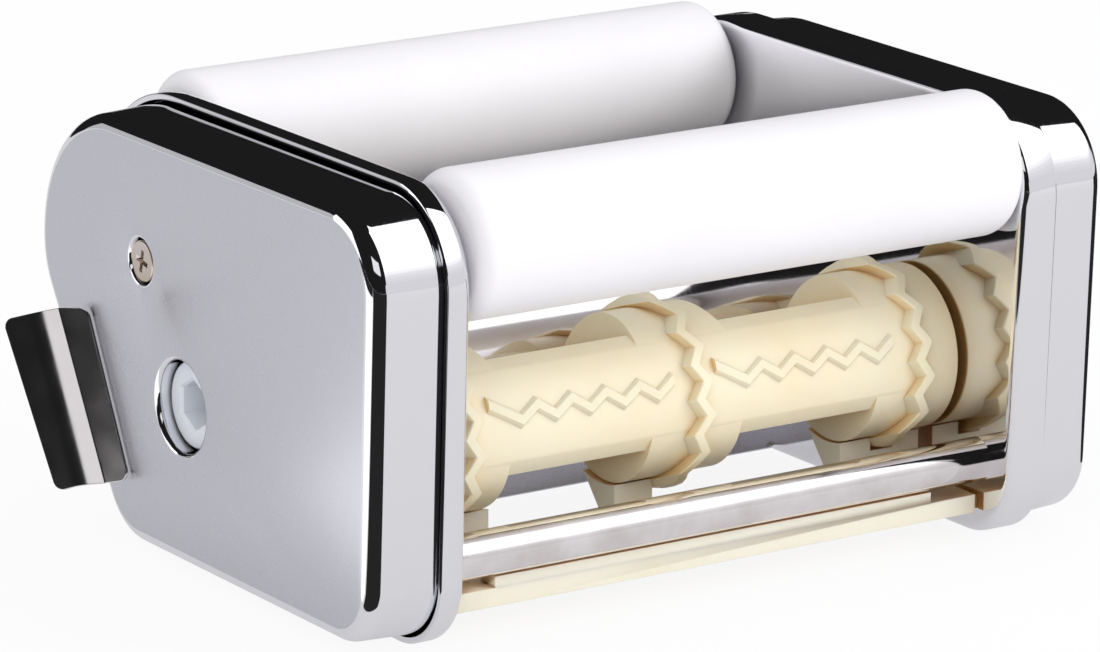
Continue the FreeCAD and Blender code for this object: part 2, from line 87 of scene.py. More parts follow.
def add_node(tree: NodeTree, kind: str, settings: dict | None = None,
             inputs: dict | None = None) -> Node:
    """Adds a node with its settings, and sets or links its inputs.

    Args:
        tree: node tree that takes the node.
        kind: Blender's name of the node type.
        settings: attributes of the node.
        inputs: values by input name or index; a node socket is linked.

    Returns:
        The new node.
    """
    node = tree.nodes.new(kind)
    for name, value in (settings or {}).items():
        setattr(node, name, value)
    for name, value in (inputs or {}).items():
        if isinstance(value, NodeSocket):
            tree.links.new(value, node.inputs[name])
        else:
            node.inputs[name].default_value = value
    return node


def fresh_tree(holder: Material | bpy.types.World) -> NodeTree:
    """Empties the node tree of a material or world and returns it."""
    holder.use_nodes = True
    holder.node_tree.nodes.clear()
    return holder.node_tree


def spread(tree: NodeTree, value: NodeSocket, seen: tuple[float, float],
           wanted: tuple[float, float]) -> NodeSocket:
    """Maps one range of values to another."""
    node = add_node(tree, "ShaderNodeMapRange", inputs={
        "Value": value, "From Min": seen[0], "From Max": seen[1],
        "To Min": wanted[0], "To Max": wanted[1]})
    return node.outputs["Result"]


def ramp(tree: NodeTree, factor: NodeSocket, stops: list[tuple[float, tuple]]) -> NodeSocket:
    """Adds a colour ramp and returns its colour.

    Args:
        tree: node tree that takes the ramp.
        factor: socket that drives it.
        stops: position and linear colour of each stop, in rising order.

    Returns:
        The ramp's colour socket.
    """
    node = add_node(tree, "ShaderNodeValToRGB", inputs={"Fac": factor})
    band = node.color_ramp
    while len(band.elements) < len(stops):
        band.elements.new(0.5)
    for element, (position, colour) in zip(band.elements, stops):
        element.position = position
        element.color = colour
    return node.outputs["Color"]


class Finish:
    """A real material that can dress pieces."""

    name = "finish"

    def shade(self, tree: NodeTree, shader: Node) -> None:
        """Sets up the shader's colour, gloss and relief."""
        raise NotImplementedError

    def material(self) -> Material:
        """Makes the material once and gives it to every piece that asks for it."""
        made = bpy.data.materials.get(self.name)
        if made is not None:
            return made
        made = bpy.data.materials.new(self.name)
        tree = fresh_tree(made)
        shader = add_node(tree, "ShaderNodeBsdfPrincipled")
        add_node(tree, "ShaderNodeOutputMaterial", inputs={"Surface": shader.outputs["BSDF"]})
        self.shade(tree, shader)
        return made

    def place(self, tree: NodeTree, stretch: tuple = (1, 1, 1)) -> NodeSocket:
        """Object coordinates in metres, stretched for a pattern."""
        spot = add_node(tree, "ShaderNodeTexCoord")
        mapping = add_node(tree, "ShaderNodeMapping", {"vector_type": "POINT"},
                           {"Vector": spot.outputs["Object"], "Scale": stretch})
        return mapping.outputs["Vector"]

    def noise(self, tree: NodeTree, vector: NodeSocket,
              grain_mm: float, detail: float = 2.0) -> NodeSocket:
        """Noise whose features are about grain_mm wide."""
        node = add_node(tree, "ShaderNodeTexNoise", {"noise_dimensions": "3D"},
                        {"Vector": vector, "Scale": 1 / (grain_mm * MM), "Detail": detail})
        return node.outputs["Fac"]

    def relief(self, tree: NodeTree, shader: Node,
               height: NodeSocket, depth_mm: float, strength: float) -> None:
        """Gives the shader a fine relief of the given depth."""
        bump = add_node(tree, "ShaderNodeBump", inputs={
            "Height": height, "Distance": depth_mm * MM, "Strength": strength})
        tree.links.new(bump.outputs["Normal"], shader.inputs["Normal"])


@dataclass(frozen=True)
class ChromedSteel(Finish):
    """Pressed steel, nickel and chrome plated: a hard mirror with faint press waves."""

    name: str = "chromed_pressed_steel"
    colour: str = "F2F2F5"
    roughness: float = 0.03
    wave_mm: float = 26.0
    wave_depth_mm: float = 0.12
    gloss_spread: float = 0.05
    smear_mm: float = 9.0
    relief_strength: float = 0.25

    def shade(self, tree: NodeTree, shader: Node) -> None:
        """Mirror colour, small changes of gloss from handling, slow waves of the sheet."""
        shader.inputs["Base Color"].default_value = linear(self.colour)
        shader.inputs["Metallic"].default_value = 1.0
        spot = self.place(tree)
        smear = self.noise(tree, spot, self.smear_mm, 4.0)
        gloss = spread(tree, smear, (0.35, 0.75),
                       (self.roughness, self.roughness + self.gloss_spread))
        tree.links.new(gloss, shader.inputs["Roughness"])
        waves = self.noise(tree, spot, self.wave_mm, 1.0)
        self.relief(tree, shader, waves, self.wave_depth_mm, self.relief_strength)


@dataclass(frozen=True)
class SatinCoverFace(ChromedSteel):
    """The same chrome on the broad cover face, blasted lightly so it greys the light."""

    name: str = "satin_chromed_face"
    colour: str = "D3D3D9"
    roughness: float = 0.27
    wave_mm: float = 60.0
    wave_depth_mm: float = 0.003
    gloss_spread: float = 0.01


@dataclass(frozen=True)
class TurnedSteel(Finish):
    """Ground and polished steel bar: bright lengthwise light with hair fine rings."""

    name: str = "polished_steel_bar"
    colour: str = "D9D6D6"
    roughness: float = 0.12
    ring_mm: float = 0.6
    stain_colour: str = "DDD6D3"
    stain_mm: float = 14.0
    ring_depth_mm: float = 0.004
    relief_strength: float = 0.1

    def shade(self, tree: NodeTree, shader: Node) -> None:
        """Steel colour with fine turning rings across X and soft stains."""
        shader.inputs["Metallic"].default_value = 1.0
        spot = self.place(tree, stretch=(1.0, 0.03, 0.03))
        rings = self.noise(tree, spot, self.ring_mm, 3.0)
        stain = self.noise(tree, self.place(tree), self.stain_mm, 3.0)
        tint = ramp(tree, stain, [(0.35, linear(self.colour)), (0.75, linear(self.stain_colour))])
        tree.links.new(tint, shader.inputs["Base Color"])
        gloss = spread(tree, rings, (0.3, 0.7), (self.roughness * 0.75, self.roughness * 1.35))
        tree.links.new(gloss, shader.inputs["Roughness"])
        self.relief(tree, shader, rings, self.ring_depth_mm, self.relief_strength)


@dataclass(frozen=True)
class MouldedPlastic(Finish):
    """Injection moulded plastic: soft gloss, faint pearl of the mould, slight depth, and optional
    painted shade in its hollows.
    """

    name: str = "moulded_plastic"
    colour: str = "F3E8CC"
    deep_colour: str = "EFE0BC"
    roughness: float = 0.42
    grain_mm: float = 0.5
    glow: float = 0.0
    painted_shade_colour: str = ""
    painted_shade_reach_mm: float = 10.0
    drift_mm: float = 30.0
    glow_depth_mm: float = 3.5
    grain_depth_mm: float = 0.02
    relief_strength: float = 0.15

    def shade(self, tree: NodeTree, shader: Node) -> None:
        """Slow colour drift, fine mould grain, and painted shade: a deeper colour laid into the
        hollows by ambient occlusion.
        """
        spot = self.place(tree)
        drift = self.noise(tree, spot, self.drift_mm, 3.0)
        tint = ramp(tree, drift, [(0.3, linear(self.deep_colour)), (0.7, linear(self.colour))])
        # Painted shade: where ambient occlusion finds the surface enclosed, the base colour turns
        # towards the shade colour.
        if self.painted_shade_colour:
            near = add_node(tree, "ShaderNodeAmbientOcclusion", {"samples": 6},
                            {"Distance": self.painted_shade_reach_mm * MM})
            depth = spread(tree, near.outputs["AO"], (0.05, 0.75), (0.85, 0.0))
            painted_shade_mix = add_node(tree, "ShaderNodeMix", {"data_type": "RGBA"}, {
                "Factor": depth, 6: tint, 7: linear(self.painted_shade_colour)})
            tint = painted_shade_mix.outputs[2]
        tree.links.new(tint, shader.inputs["Base Color"])
        grain = self.noise(tree, spot, self.grain_mm, 2.0)
        gloss = spread(tree, grain, (0.3, 0.7), (self.roughness - 0.05, self.roughness + 0.05))
        tree.links.new(gloss, shader.inputs["Roughness"])
        if self.glow > 0:
            shader.inputs["Subsurface Weight"].default_value = self.glow
            shader.inputs["Subsurface Radius"].default_value = (1.0, 0.7, 0.3)
            shader.inputs["Subsurface Scale"].default_value = self.glow_depth_mm * MM
        self.relief(tree, shader, grain, self.grain_depth_mm, self.relief_strength)


WHITE_ROLLER_PLASTIC = MouldedPlastic("white_acetal_roller", "F4F3F6", "F0EFF3", 0.5, 0.4)
# The last argument of the roll's and the comb's plastic is the colour of the shade painted into
# their hollows.
CREAM_ROLL_PLASTIC = MouldedPlastic("cream_moulded_nylon", "F7EED3", "F4E7C4", 0.42, 0.5, 0.2,
                                    "E2AE4E")
CREAM_COMB_PLASTIC = MouldedPlastic("pale_cream_nylon", "F6F1E2", "F3ECD6", 0.4, 0.4, 0.3,
                                    "DC9A2C")
WHITE_NYLON = MouldedPlastic("white_nylon_hub", "E9EDF3", "E1E6EE", 0.35, 0.4, 0.2)
CHROME = ChromedSteel()
SATIN_FACE = SatinCoverFace()
STEEL_BAR = TurnedSteel("polished_steel_bar", "F4F0F0", 0.07, 0.6)
STEEL_TUBE = TurnedSteel("ground_steel_tube", "EEEAEB", 0.08, 0.35)
GEAR_STEEL = TurnedSteel("sintered_gear_steel", "8F8C8A", 0.35, 0.8)
NICKEL_SCREW = TurnedSteel("nickelled_screw", "C9B9A6", 0.22, 0.3)
ROLLED_SHEET = ChromedSteel("rolled_stainless_sheet", "D0D2DC", 0.25, 30.0)
BRACKET_STEEL = ChromedSteel("polished_bracket_steel", "EAE6E4", 0.12, 18.0)


# Mesh helpers, all in millimetres


def bevel_edges(mesh: BMesh, edges: list, width: float, segments: int) -> None:
    """Rounds edges with an arc profile."""
    bmesh.ops.bevel(mesh, geom=edges, offset=width, offset_type="OFFSET", segments=segments,
                    profile=0.5, affect="EDGES", material=-1, clamp_overlap=True)


def edges_at_x(mesh: BMesh, x: float) -> list:
    """Edges that lie in the plane X = x."""
    return [e for e in mesh.edges if all(abs(v.co.x - x) < SNAP_MM for v in e.verts)]


def corners_of(made: list) -> list:
    """Corners among the elements that an operator made."""
    return [g for g in made if isinstance(g, BMVert)]


def grow(mesh: BMesh, edges: list) -> tuple[list, list, list]:
    """Extrudes edges and returns the new corners, the far edges and the faces."""
    made = bmesh.ops.extrude_edge_only(mesh, edges=edges)["geom"]
    ends = corners_of(made)
    far = [g for g in made if isinstance(g, BMEdge) and all(v in ends for v in g.verts)]
    return ends, far, [g for g in made if isinstance(g, BMFace)]


def join_up(mesh: BMesh, corners: list) -> list:
    """Closed loop of new edges through the corners."""
    return [mesh.edges.new(pair) for pair in zip(corners, corners[1:] + corners[:1])]


def sweep(mesh: BMesh, start: BMVert, centre: tuple, angle: float, steps: int) -> BMVert:
    """Turns a corner about an axis along X to an arc, and returns its far corner."""
    arc = bmesh.ops.spin(mesh, geom=[start], cent=centre, axis=X_AXIS, angle=angle,
                         steps=steps, use_merge=False, use_duplicate=False)
    return corners_of(arc["geom_last"])[0]


def rib_section(top: float, foot: float, root: float, crown: float, flare: float,
                soft: float) -> list[tuple[float, float]]:
    """Width and height of each corner of a rib with softened shoulders.

    Args:
        top: width at the crown.
        foot: width at the root.
        root: height of the root.
        crown: height of the crown.
        flare: how far each shoulder stands out past the crown's width.
        soft: how far the crown's flat ends before its width.

    Returns:
        Corners from the left foot over the crown to the right foot.
    """
    half = [(top / 2 - soft, crown), (top / 2 + flare, crown - SHOULDER_DROP), (foot / 2, root)]
    return [(-wide, high) for wide, high in reversed(half)] + half


def sharp_edges(mesh: BMesh, degrees: float) -> list:
    """Edges whose faces meet at more than the given angle."""
    limit = math.radians(degrees)
    return [e for e in mesh.edges if len(e.link_faces) == 2 and e.calc_face_angle(0.0) > limit]


def carry_face(mesh: BMesh, face: BMFace,
               stations: list[tuple[float, float]]) -> None:
    """Carries a face along its normal, ring by ring.

    Args:
        mesh: mesh that holds the face.
        face: face that moves and stays at the far end.
        stations: how far each ring steps in and how far it goes along.
    """
    for inset, depth in stations:
        bmesh.ops.inset_region(mesh, faces=[face], thickness=inset, depth=depth,
                               use_even_offset=True, use_boundary=True)


def rounded_steps(radius: float, count: int) -> list[tuple[float, float]]:
    """Inset and depth of each step of a rounded edge."""
    steps = []
    for index in range(count):
        before = math.pi / 2 * index / count
        after = math.pi / 2 * (index + 1) / count
        steps.append((radius * (math.cos(before) - math.cos(after)),
                      radius * (math.sin(after) - math.sin(before))))
    return steps


def circle_loop(mesh: BMesh, x: float, y: float, z: float, radius: float,
                segments: int) -> list:
    """Round loop of edges about an axis along X."""
    turn = Matrix.Translation((x, y, z)) @ Matrix.Rotation(math.pi / 2, 4, "Y")
    made = bmesh.ops.create_circle(mesh, cap_ends=False, radius=radius, segments=segments,
                                   matrix=turn)
    corners = set(made["verts"])
    return [e for e in mesh.edges if e.verts[0] in corners and e.verts[1] in corners]


def sink_loop(mesh: BMesh, edges: list, centre: tuple[float, float],
              steps: list[tuple[float, float]]) -> list:
    """Extrudes a round loop step by step.

    Args:
        mesh: mesh that holds the loop.
        edges: edges of the loop.
        centre: Y and Z of its centre.
        steps: new radius and new X after each step.

    Returns:
        The edges of the last loop.
    """
    for radius, x in steps:
        corners, edges, _ = grow(mesh, edges)
        middle = Vector((corners[0].co.x, centre[0], centre[1]))
        now = (corners[0].co - middle).length
        ratio = radius / now
        bmesh.ops.scale(mesh, vec=(1, ratio, ratio), verts=corners,
                        space=Matrix.Translation(-middle))
        bmesh.ops.translate(mesh, verts=corners, vec=(x - corners[0].co.x, 0, 0))
    return edges


def prism(mesh: BMesh, section: list, x1: float) -> list:
    """Closes a loop of edges and carries it along X to a solid.

    Args:
        mesh: mesh that holds the loop.
        section: edges of the loop, all in one plane.
        x1: X of the far end.

    Returns:
        The corners of the solid.
    """
    near = bmesh.ops.contextual_create(mesh, geom=section)["faces"][0]
    start = list(near.verts)
    grown = bmesh.ops.extrude_face_region(mesh, geom=[near], use_keep_orig=True)["geom"]
    far = corners_of(grown)
    bmesh.ops.translate(mesh, verts=far, vec=(x1 - start[0].co.x, 0, 0))
    return start + far


def section_loop(mesh: BMesh, x: float,
                 corners: list[tuple[float, float]]) -> list:
    """Loop of straight edges through a few corners given in Y and Z."""
    return join_up(mesh, [mesh.verts.new((x, y, z)) for y, z in corners])


def turned_bar(mesh: BMesh, x0: float, x1: float, y: float, z: float,
               radius: float, edge: float, segments: int = 96, rounds: int = 4) -> None:
    """Round bar along X with rounded ends.

    Args:
        mesh: mesh that takes the bar.
        x0: left end.
        x1: right end.
        y: Y of the axis.
        z: Z of the axis.
        radius: radius of the bar.
        edge: radius of the rounding at both ends.
        segments: faces around the bar.
        rounds: faces across each rounding.
    """
    place = Matrix.Translation(((x0 + x1) / 2, y, z)) @ Matrix.Rotation(math.pi / 2, 4, "Y")
    made = bmesh.ops.create_cone(mesh, cap_ends=True, segments=segments, radius1=radius,
                                 radius2=radius, depth=x1 - x0, matrix=place)
    corners = set(made["verts"])
    rims = [e for e in mesh.edges if e.verts[0] in corners and e.verts[1] in corners
            and abs(e.verts[0].co.x - e.verts[1].co.x) < SNAP_MM]
    bevel_edges(mesh, rims, edge, rounds)


def open_crown(mesh: BMesh) -> list:
    """Takes the left end off a turned bar and returns the edges around it."""
    crown = [f for f in mesh.faces if f.normal.x < -0.99]
    bmesh.ops.delete(mesh, geom=crown, context="FACES_ONLY")
    return [e for e in mesh.edges if e.is_boundary]


def to_scene(name: str, data: bpy.types.ID) -> bpy.types.Object:
    """New object with the given data, linked to the scene."""
    thing = bpy.data.objects.new(name, data)
    bpy.context.scene.collection.objects.link(thing)
    return thing


def to_piece(mesh: BMesh, name: str, body: str, finish: Finish,
             replaces: tuple[str, ...] = (), smooth: float = 32.0,
             side: Side = Side.LEFT, heal: bool = True, even: bool = False) -> bpy.types.Object:
    """Turns a finished mesh to a piece that rides on a body.

    Args:
        mesh: the mesh in millimetres, built on the left side.
        name: name of the piece.
        body: moving body that carries it.
        finish: what it is made of.
        replaces: nodes that it stands for.
        smooth: edges above this angle in degrees stay sharp.
        side: on the right the mesh is mirrored.
        heal: merges doubles and turns all faces outwards.
        even: keeps broad faces flat in shade, so only the small rounds turn the light.

    Returns:
        The new object.
    """
    if side is Side.RIGHT:
        bmesh.ops.scale(mesh, vec=(-1, 1, 1), verts=mesh.verts)
        bmesh.ops.reverse_faces(mesh, faces=mesh.faces)
    if heal:
        bmesh.ops.remove_doubles(mesh, verts=mesh.verts, dist=WELD_MM)
        bmesh.ops.recalc_face_normals(mesh, faces=mesh.faces)
    limit = math.radians(smooth)
    for face in mesh.faces:
        face.smooth = True
    for edge in mesh.edges:
        edge.smooth = not (len(edge.link_faces) == 2 and edge.calc_face_angle(0.0) > limit)
    bmesh.ops.scale(mesh, vec=(MM, MM, MM), verts=mesh.verts)
    data = bpy.data.meshes.new(name)
    mesh.to_mesh(data)
    mesh.free()
    piece = to_scene(name, data)
    data.materials.append(finish.material())
    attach(piece, body)
    if replaces:
        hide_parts(*replaces)
    if even:
        piece.modifiers.new("even_shade", "WEIGHTED_NORMAL").keep_sharp = True
    log.info("made %s with %d faces", name, len(data.polygons))
    return piece


# Side outline shared by frames and covers


@dataclass(frozen=True)
class SideOutline:
    """Side view of frames and covers: straight runs between rounded corners."""

    top_z: float = 105.7
    front_lean: float = 2.45
    back_slant: float = 31.8
    front_top_y: float = -55.2
    front_top_r: float = 22.0
    front_bottom_r: float = 18.0
    back_top_y: float = 41.6
    back_top_r: float = 38.0
    back_lower_r: float = 26.0
    back_bottom_r: float = 20.0
    step_degrees: float = 3.0

    def _low_centre_y(self, y: float, z: float, radius: float, low_r: float,
                      degrees: float) -> float:
        """Y of the lower corner that shares a tangent with the corner above it."""
        ny, nz = math.cos(math.radians(degrees)), math.sin(math.radians(degrees))
        return (ny * y + nz * z + radius - low_r - nz * low_r) / ny

    def corners(self) -> list[tuple[float, float, float, float, float]]:
        """Corner arcs in order: centre Y and Z, radius, start and end angle."""
        front = 180 + self.front_lean
        back = 360 - self.back_slant
        front_z = self.top_z - self.front_top_r
        back_z = self.top_z - self.back_top_r
        lower_y = self.back_top_y + self.back_top_r - self.back_lower_r
        front_low = self._low_centre_y(self.front_top_y, front_z, self.front_top_r,
                                       self.front_bottom_r, front)
        back_low = self._low_centre_y(lower_y, back_z, self.back_lower_r,
                                      self.back_bottom_r, back)
        return [
            (self.back_top_y, back_z, self.back_top_r, 90, 0),
            (lower_y, back_z, self.back_lower_r, 360, back),
            (back_low, self.back_bottom_r, self.back_bottom_r, back, 270),
            (front_low, self.front_bottom_r, self.front_bottom_r, 270, front),
            (self.front_top_y, front_z, self.front_top_r, front, 90),
        ]

    def face(self, mesh: BMesh, inset: float, x: float,
             facing: int) -> BMFace:
        """Draws the outline as one face.

        Args:
            mesh: mesh that takes the face.
            inset: distance inwards from the outline.
            x: plane of the face.
            facing: -1 or 1, the X direction of its normal.

        Returns:
            The face.
        """
        starts, ends = [], []
        for y, z, radius, start, end in self.corners():
            reach = radius - inset
            angle = math.radians(start)
            first = mesh.verts.new((x, y + reach * math.cos(angle), z + reach * math.sin(angle)))
            starts.append(first)
            ends.append(sweep(mesh, first, (x, y, z), math.radians(end - start),
                              max(2, round(abs(end - start) / self.step_degrees))))
        for last, following in zip(ends, starts[1:] + starts[:1]):
            mesh.edges.new((last, following))
        bmesh.ops.remove_doubles(mesh, verts=mesh.verts, dist=0.001)
        face = bmesh.ops.contextual_create(mesh, geom=mesh.edges[:])["faces"][0]
        face.normal_update()
        if face.normal.x * facing < 0:
            face.normal_flip()
        return face


OUTLINE = SideOutline()


@dataclass(frozen=True)
class Hole:
    """Round or polygonal hole through a pressed face."""

    y: float
    z: float
    radius: float
    segments: int = 64
    sink: tuple[tuple[float, float], ...] = ()


def pressed_cup(mesh: BMesh, inset: float, x: float, facing: int,
                stations: list[tuple[float, float]], sheet: float,
                holes: list[Hole]) -> None:
    """Presses the side outline to a cup with rounded edges and holes in its face.

    Args:
        mesh: mesh that takes the cup.
        inset: inset of the open rim.
        x: plane of the open rim.
        facing: X direction in which the cup deepens.
        stations: inset and depth of each ring.
        sheet: thickness of the sheet.
        holes: holes in the far face, each with the steps that sink its lip.
    """
    face = OUTLINE.face(mesh, inset, x, facing)
    carry_face(mesh, face, stations + [(0.5, 0.0)])
    far_x = face.calc_center_median().x
    rim = list(face.edges)
    bmesh.ops.delete(mesh, geom=[face], context="FACES_ONLY")
    loops = [circle_loop(mesh, far_x, hole.y, hole.z, hole.radius, hole.segments)
             for hole in holes]
    bmesh.ops.triangle_fill(mesh, use_beauty=True, use_dissolve=False,
                            edges=rim + [e for loop in loops for e in loop],
                            normal=(facing, 0, 0))
    for hole, loop in zip(holes, loops):
        steps = [(radius, far_x - facing * depth) for radius, depth in hole.sink]
        sink_loop(mesh, loop, (hole.y, hole.z), steps)
    for face in [f for f in mesh.faces if abs(f.normal.x) > 0.99 and f.normal.x * facing < 0]:
        if abs(face.calc_center_median().x - far_x) < 0.01:
            face.normal_flip()
    bmesh.ops.recalc_face_normals(mesh, faces=mesh.faces)
    probe = max(mesh.faces, key=lambda f: f.calc_area() if abs(f.normal.x) > 0.99 else 0)
    if probe.normal.x * facing < 0:
        bmesh.ops.reverse_faces(mesh, faces=mesh.faces)
    bmesh.ops.solidify(mesh, geom=mesh.faces[:], thickness=sheet)


# Housing


@dataclass
class SideFrames:
    """Pressed trays that carry the rolls, with a flange turned outwards."""

    inner_x: dict = field(default_factory=lambda: {Side.LEFT: 76.5, Side.RIGHT: 74.3})
    flange_x: dict = field(default_factory=lambda: {Side.LEFT: 83.0, Side.RIGHT: 83.8})
    sheet: float = 1.5
    bend: float = 2.4
    bush_flats: float = 15.0
    bush_spots: tuple = ((-35.4, 40.8), (10.6, 40.8))

    def build(self) -> None:
        """Makes both trays."""
        for side in Side:
            mesh = bmesh.new()
            flange_x = self.flange_x[side]
            wall = flange_x - self.inner_x[side] - self.bend
            holes = [Hole(y, z, self.bush_flats / math.sqrt(3), 6) for y, z in self.bush_spots]
            pressed_cup(mesh, 0.0, -flange_x, 1,
                        [(0.0, wall)] + rounded_steps(self.bend, 8), self.sheet, holes)
            rim = [e for e in edges_at_x(mesh, -flange_x)
                   if len(e.link_faces) == 2 and e.calc_face_angle(0) > 1.0]
            bevel_edges(mesh, rim, 0.3, 2)
            name = f"{side.word}_side_frame"
            to_piece(mesh, f"{name}_tray", "housing", CHROME, (name,), side=side,
                     heal=False)


@dataclass
class SideCovers:
    """Deep drawn cups with a satin face, a screw dimple, and the crank hole on the left."""

    rim_x: float = 78.4
    face_x: float = 100.0
    sheet: float = 1.0
    rim_inset: float = 2.0
    face_inset: float = 2.8
    edge_r: float = 4.1
    screw_spot: tuple = (27.8, 71.6)
    crank_spot: tuple = (10.6, 40.8)
    crank_r: float = 10.8
    lip_r: float = 1.4
    lip_depth: float = 4.0
    lip_steps: int = 6
    dimple_r: float = 6.1
    dimple: tuple = ((5.7, 0.15), (5.45, 0.5), (5.2, 1.2), (5.05, 2.2))
    screw_r: float = 4.9
    screw_top: float = 0.25
    screw_foot: float = 2.7
    cross_half: float = 0.62
    cross_reach: float = 2.7
    cross_turn: float = 12.0
    cross_depth: float = 1.4
    cross_taper: float = 0.62

    def build(self) -> None:
        """Makes both covers and their screws."""
        for side in Side:
            mesh = bmesh.new()
            wall = (self.face_inset - self.rim_inset, self.face_x - self.rim_x - self.edge_r)
            holes = [Hole(*self.screw_spot, self.dimple_r, 64, self.dimple)]
            if side is Side.LEFT:
                holes.append(Hole(*self.crank_spot, self.crank_r + self.lip_r, 96,
                                  self._lip_line()))
            pressed_cup(mesh, self.rim_inset, -self.rim_x, -1,
                        [wall] + rounded_steps(self.edge_r, 10), self.sheet, holes)
            for face in mesh.faces:
                level = face.calc_center_median().x
                flat = abs(face.normal.x) > 0.9 and level < -self.face_x + 0.05
                face.material_index = 1 if flat else 0
            name = f"{side.word}_cover"
            cup = to_piece(mesh, f"{name}_cup", "housing", CHROME, (name,),
                           side=side, heal=False)
            cup.data.materials.append(SATIN_FACE.material())
            self._screw(side)

    def _lip_line(self) -> tuple[tuple[float, float], ...]:
        """Rolled lip of the crank hole: radius and depth of each step."""
        steps = []
        for index in range(1, self.lip_steps + 1):
            angle = math.pi / 2 * index / self.lip_steps
            steps.append((self.crank_r + self.lip_r * (1 - math.sin(angle)),
                          self.lip_r * (1 - math.cos(angle))))
        return tuple(steps + [(self.crank_r, self.lip_depth)])

    def _screw(self, side: Side) -> None:
        """Countersunk screw with a cross recess, just below the cover face."""
        mesh = bmesh.new()
        y, z = self.screw_spot
        top = -self.face_x + self.screw_top
        turned_bar(mesh, top, -self.face_x + self.screw_foot, y, z, self.screw_r, 0.5, 48, 3)
        rim = open_crown(mesh)
        cross = self._cross_loop(mesh, top, y, z)
        bmesh.ops.triangle_fill(mesh, use_beauty=True, use_dissolve=False, edges=rim + cross,
                                normal=(-1, 0, 0))
        low, _, _ = grow(mesh, cross)
        bmesh.ops.translate(mesh, verts=low, vec=(self.cross_depth, 0, 0))
        bmesh.ops.scale(mesh, vec=(1, self.cross_taper, self.cross_taper), verts=low,
                        space=Matrix.Translation((-top - self.cross_depth, -y, -z)))
        floor = [e for e in mesh.edges if e.is_boundary]
        bmesh.ops.contextual_create(mesh, geom=floor)
        to_piece(mesh, f"{side.word}_cover_screw", "housing", NICKEL_SCREW,
                 ("cover_screws",), side=side, smooth=25.0)

    def _cross_loop(self, mesh: BMesh, x: float, y: float, z: float) -> list:
        """Cross shaped loop of edges, grown from a square by extruding its sides."""
        centre = bmesh.ops.create_grid(mesh, x_segments=1, y_segments=1, size=self.cross_half,
                                       matrix=Matrix.Translation((x, y, z))
                                       @ Matrix.Rotation(math.pi / 2, 4, "Y"))
        square = centre["verts"][0].link_faces[0]
        faces = [square]
        for edge in list(square.edges):
            middle = (edge.verts[0].co + edge.verts[1].co) / 2 - Vector((x, y, z))
            ends, _, arm = grow(mesh, [edge])
            bmesh.ops.translate(mesh, verts=ends, vec=middle.normalized()
                                * (self.cross_reach - self.cross_half))
            faces += arm
        outline = [e for e in {e for f in faces for e in f.edges} if len(e.link_faces) == 1]
        bmesh.ops.delete(mesh, geom=faces, context="FACES_ONLY")
        wire = [e for e in mesh.edges if not e.link_faces and e not in outline]
        bmesh.ops.delete(mesh, geom=wire, context="EDGES")
        turn = Matrix.Rotation(math.radians(self.cross_turn), 3, "X")
        corners = list({v for e in outline for v in e.verts})
        bmesh.ops.rotate(mesh, cent=(x, y, z), matrix=turn, verts=corners)
        return outline


@dataclass
class MountingBrackets:
    """Bent hooks on the slanted backs of the covers, hung on to the pasta machine.

    Each line of corners runs from the edge on the cover's face to the free edge. A corner is
    its X, its distance out of the slanted back and its distance up the slant.
    """

    low_z: float = 13.6
    face_inset: float = 3.1
    sheet: float = 1.0
    low_line: tuple = ((-101.2, -14.0, -3.5), (-103.9, -7.9, -1.8), (-108.4, -5.3, -0.6),
                       (-112.5, 0.5, 0.1))
    top_line: tuple = ((-101.2, -17.8, 38.0), (-104.3, -10.7, 41.0), (-109.0, -8.6, 41.4),
                       (-114.2, -0.7, 42.9))
    corner_r: float = 2.4
    crease_r: float = 0.3
    roll_r: float = 3.0

    def build(self) -> None:
        """Makes both brackets."""
        for side in Side:
            mesh = bmesh.new()
            self._hook(mesh)
            name = f"{side.word}_mounting_bracket"
            to_piece(mesh, f"{name}_hook", "housing", BRACKET_STEEL, (name,),
                     side=side, smooth=32.0, even=True)

    def _slope(self) -> tuple[Vector, Vector, Vector]:
        """Foot of the bracket, direction up the slant and direction out of it."""
        y, z, radius, _, end = OUTLINE.corners()[1]
        out = Vector((0, math.cos(math.radians(end)), math.sin(math.radians(end))))
        along = Vector((0, math.sin(math.radians(OUTLINE.back_slant)),
                        math.cos(math.radians(OUTLINE.back_slant))))
        touch = Vector((0, y, z)) + out * (radius - self.face_inset)
        return touch + along * ((self.low_z - touch.z) / along.z), along, out

    def _hook(self, mesh: BMesh) -> None:
        """Creased sheet whose free leg rolls away from the crease."""
        foot, up, out = self._slope()
        low, top = ([mesh.verts.new(Vector((x, 0, 0)) + foot + out * off + up * rise)
                     for x, off, rise in line] for line in (self.low_line, self.top_line))
        for i in range(len(low) - 1):
            mesh.faces.new((low[i], low[i + 1], top[i + 1], top[i]))
        corners = [low[0], low[-1], top[0], top[-1]]
        bmesh.ops.bevel(mesh, geom=corners, offset=self.corner_r, offset_type="OFFSET",
                        segments=6, profile=0.5, affect="VERTICES", material=-1)
        folds = sorted((e for e in mesh.edges if len(e.link_faces) == 2),
                       key=lambda e: -e.verts[0].co.x)
        bevel_edges(mesh, folds[1:], self.roll_r, 8)
        crease = max((e for e in mesh.edges if len(e.link_faces) == 2),
                     key=lambda e: e.verts[0].co.x)
        bevel_edges(mesh, [crease], self.crease_r, 2)
        bmesh.ops.recalc_face_normals(mesh, faces=mesh.faces)
        if max(mesh.faces, key=lambda f: f.calc_area()).normal.x > 0:
            bmesh.ops.reverse_faces(mesh, faces=mesh.faces)
        bmesh.ops.solidify(mesh, geom=mesh.faces[:], thickness=self.sheet)
        bevel_edges(mesh, sharp_edges(mesh, 60), 0.15, 2)


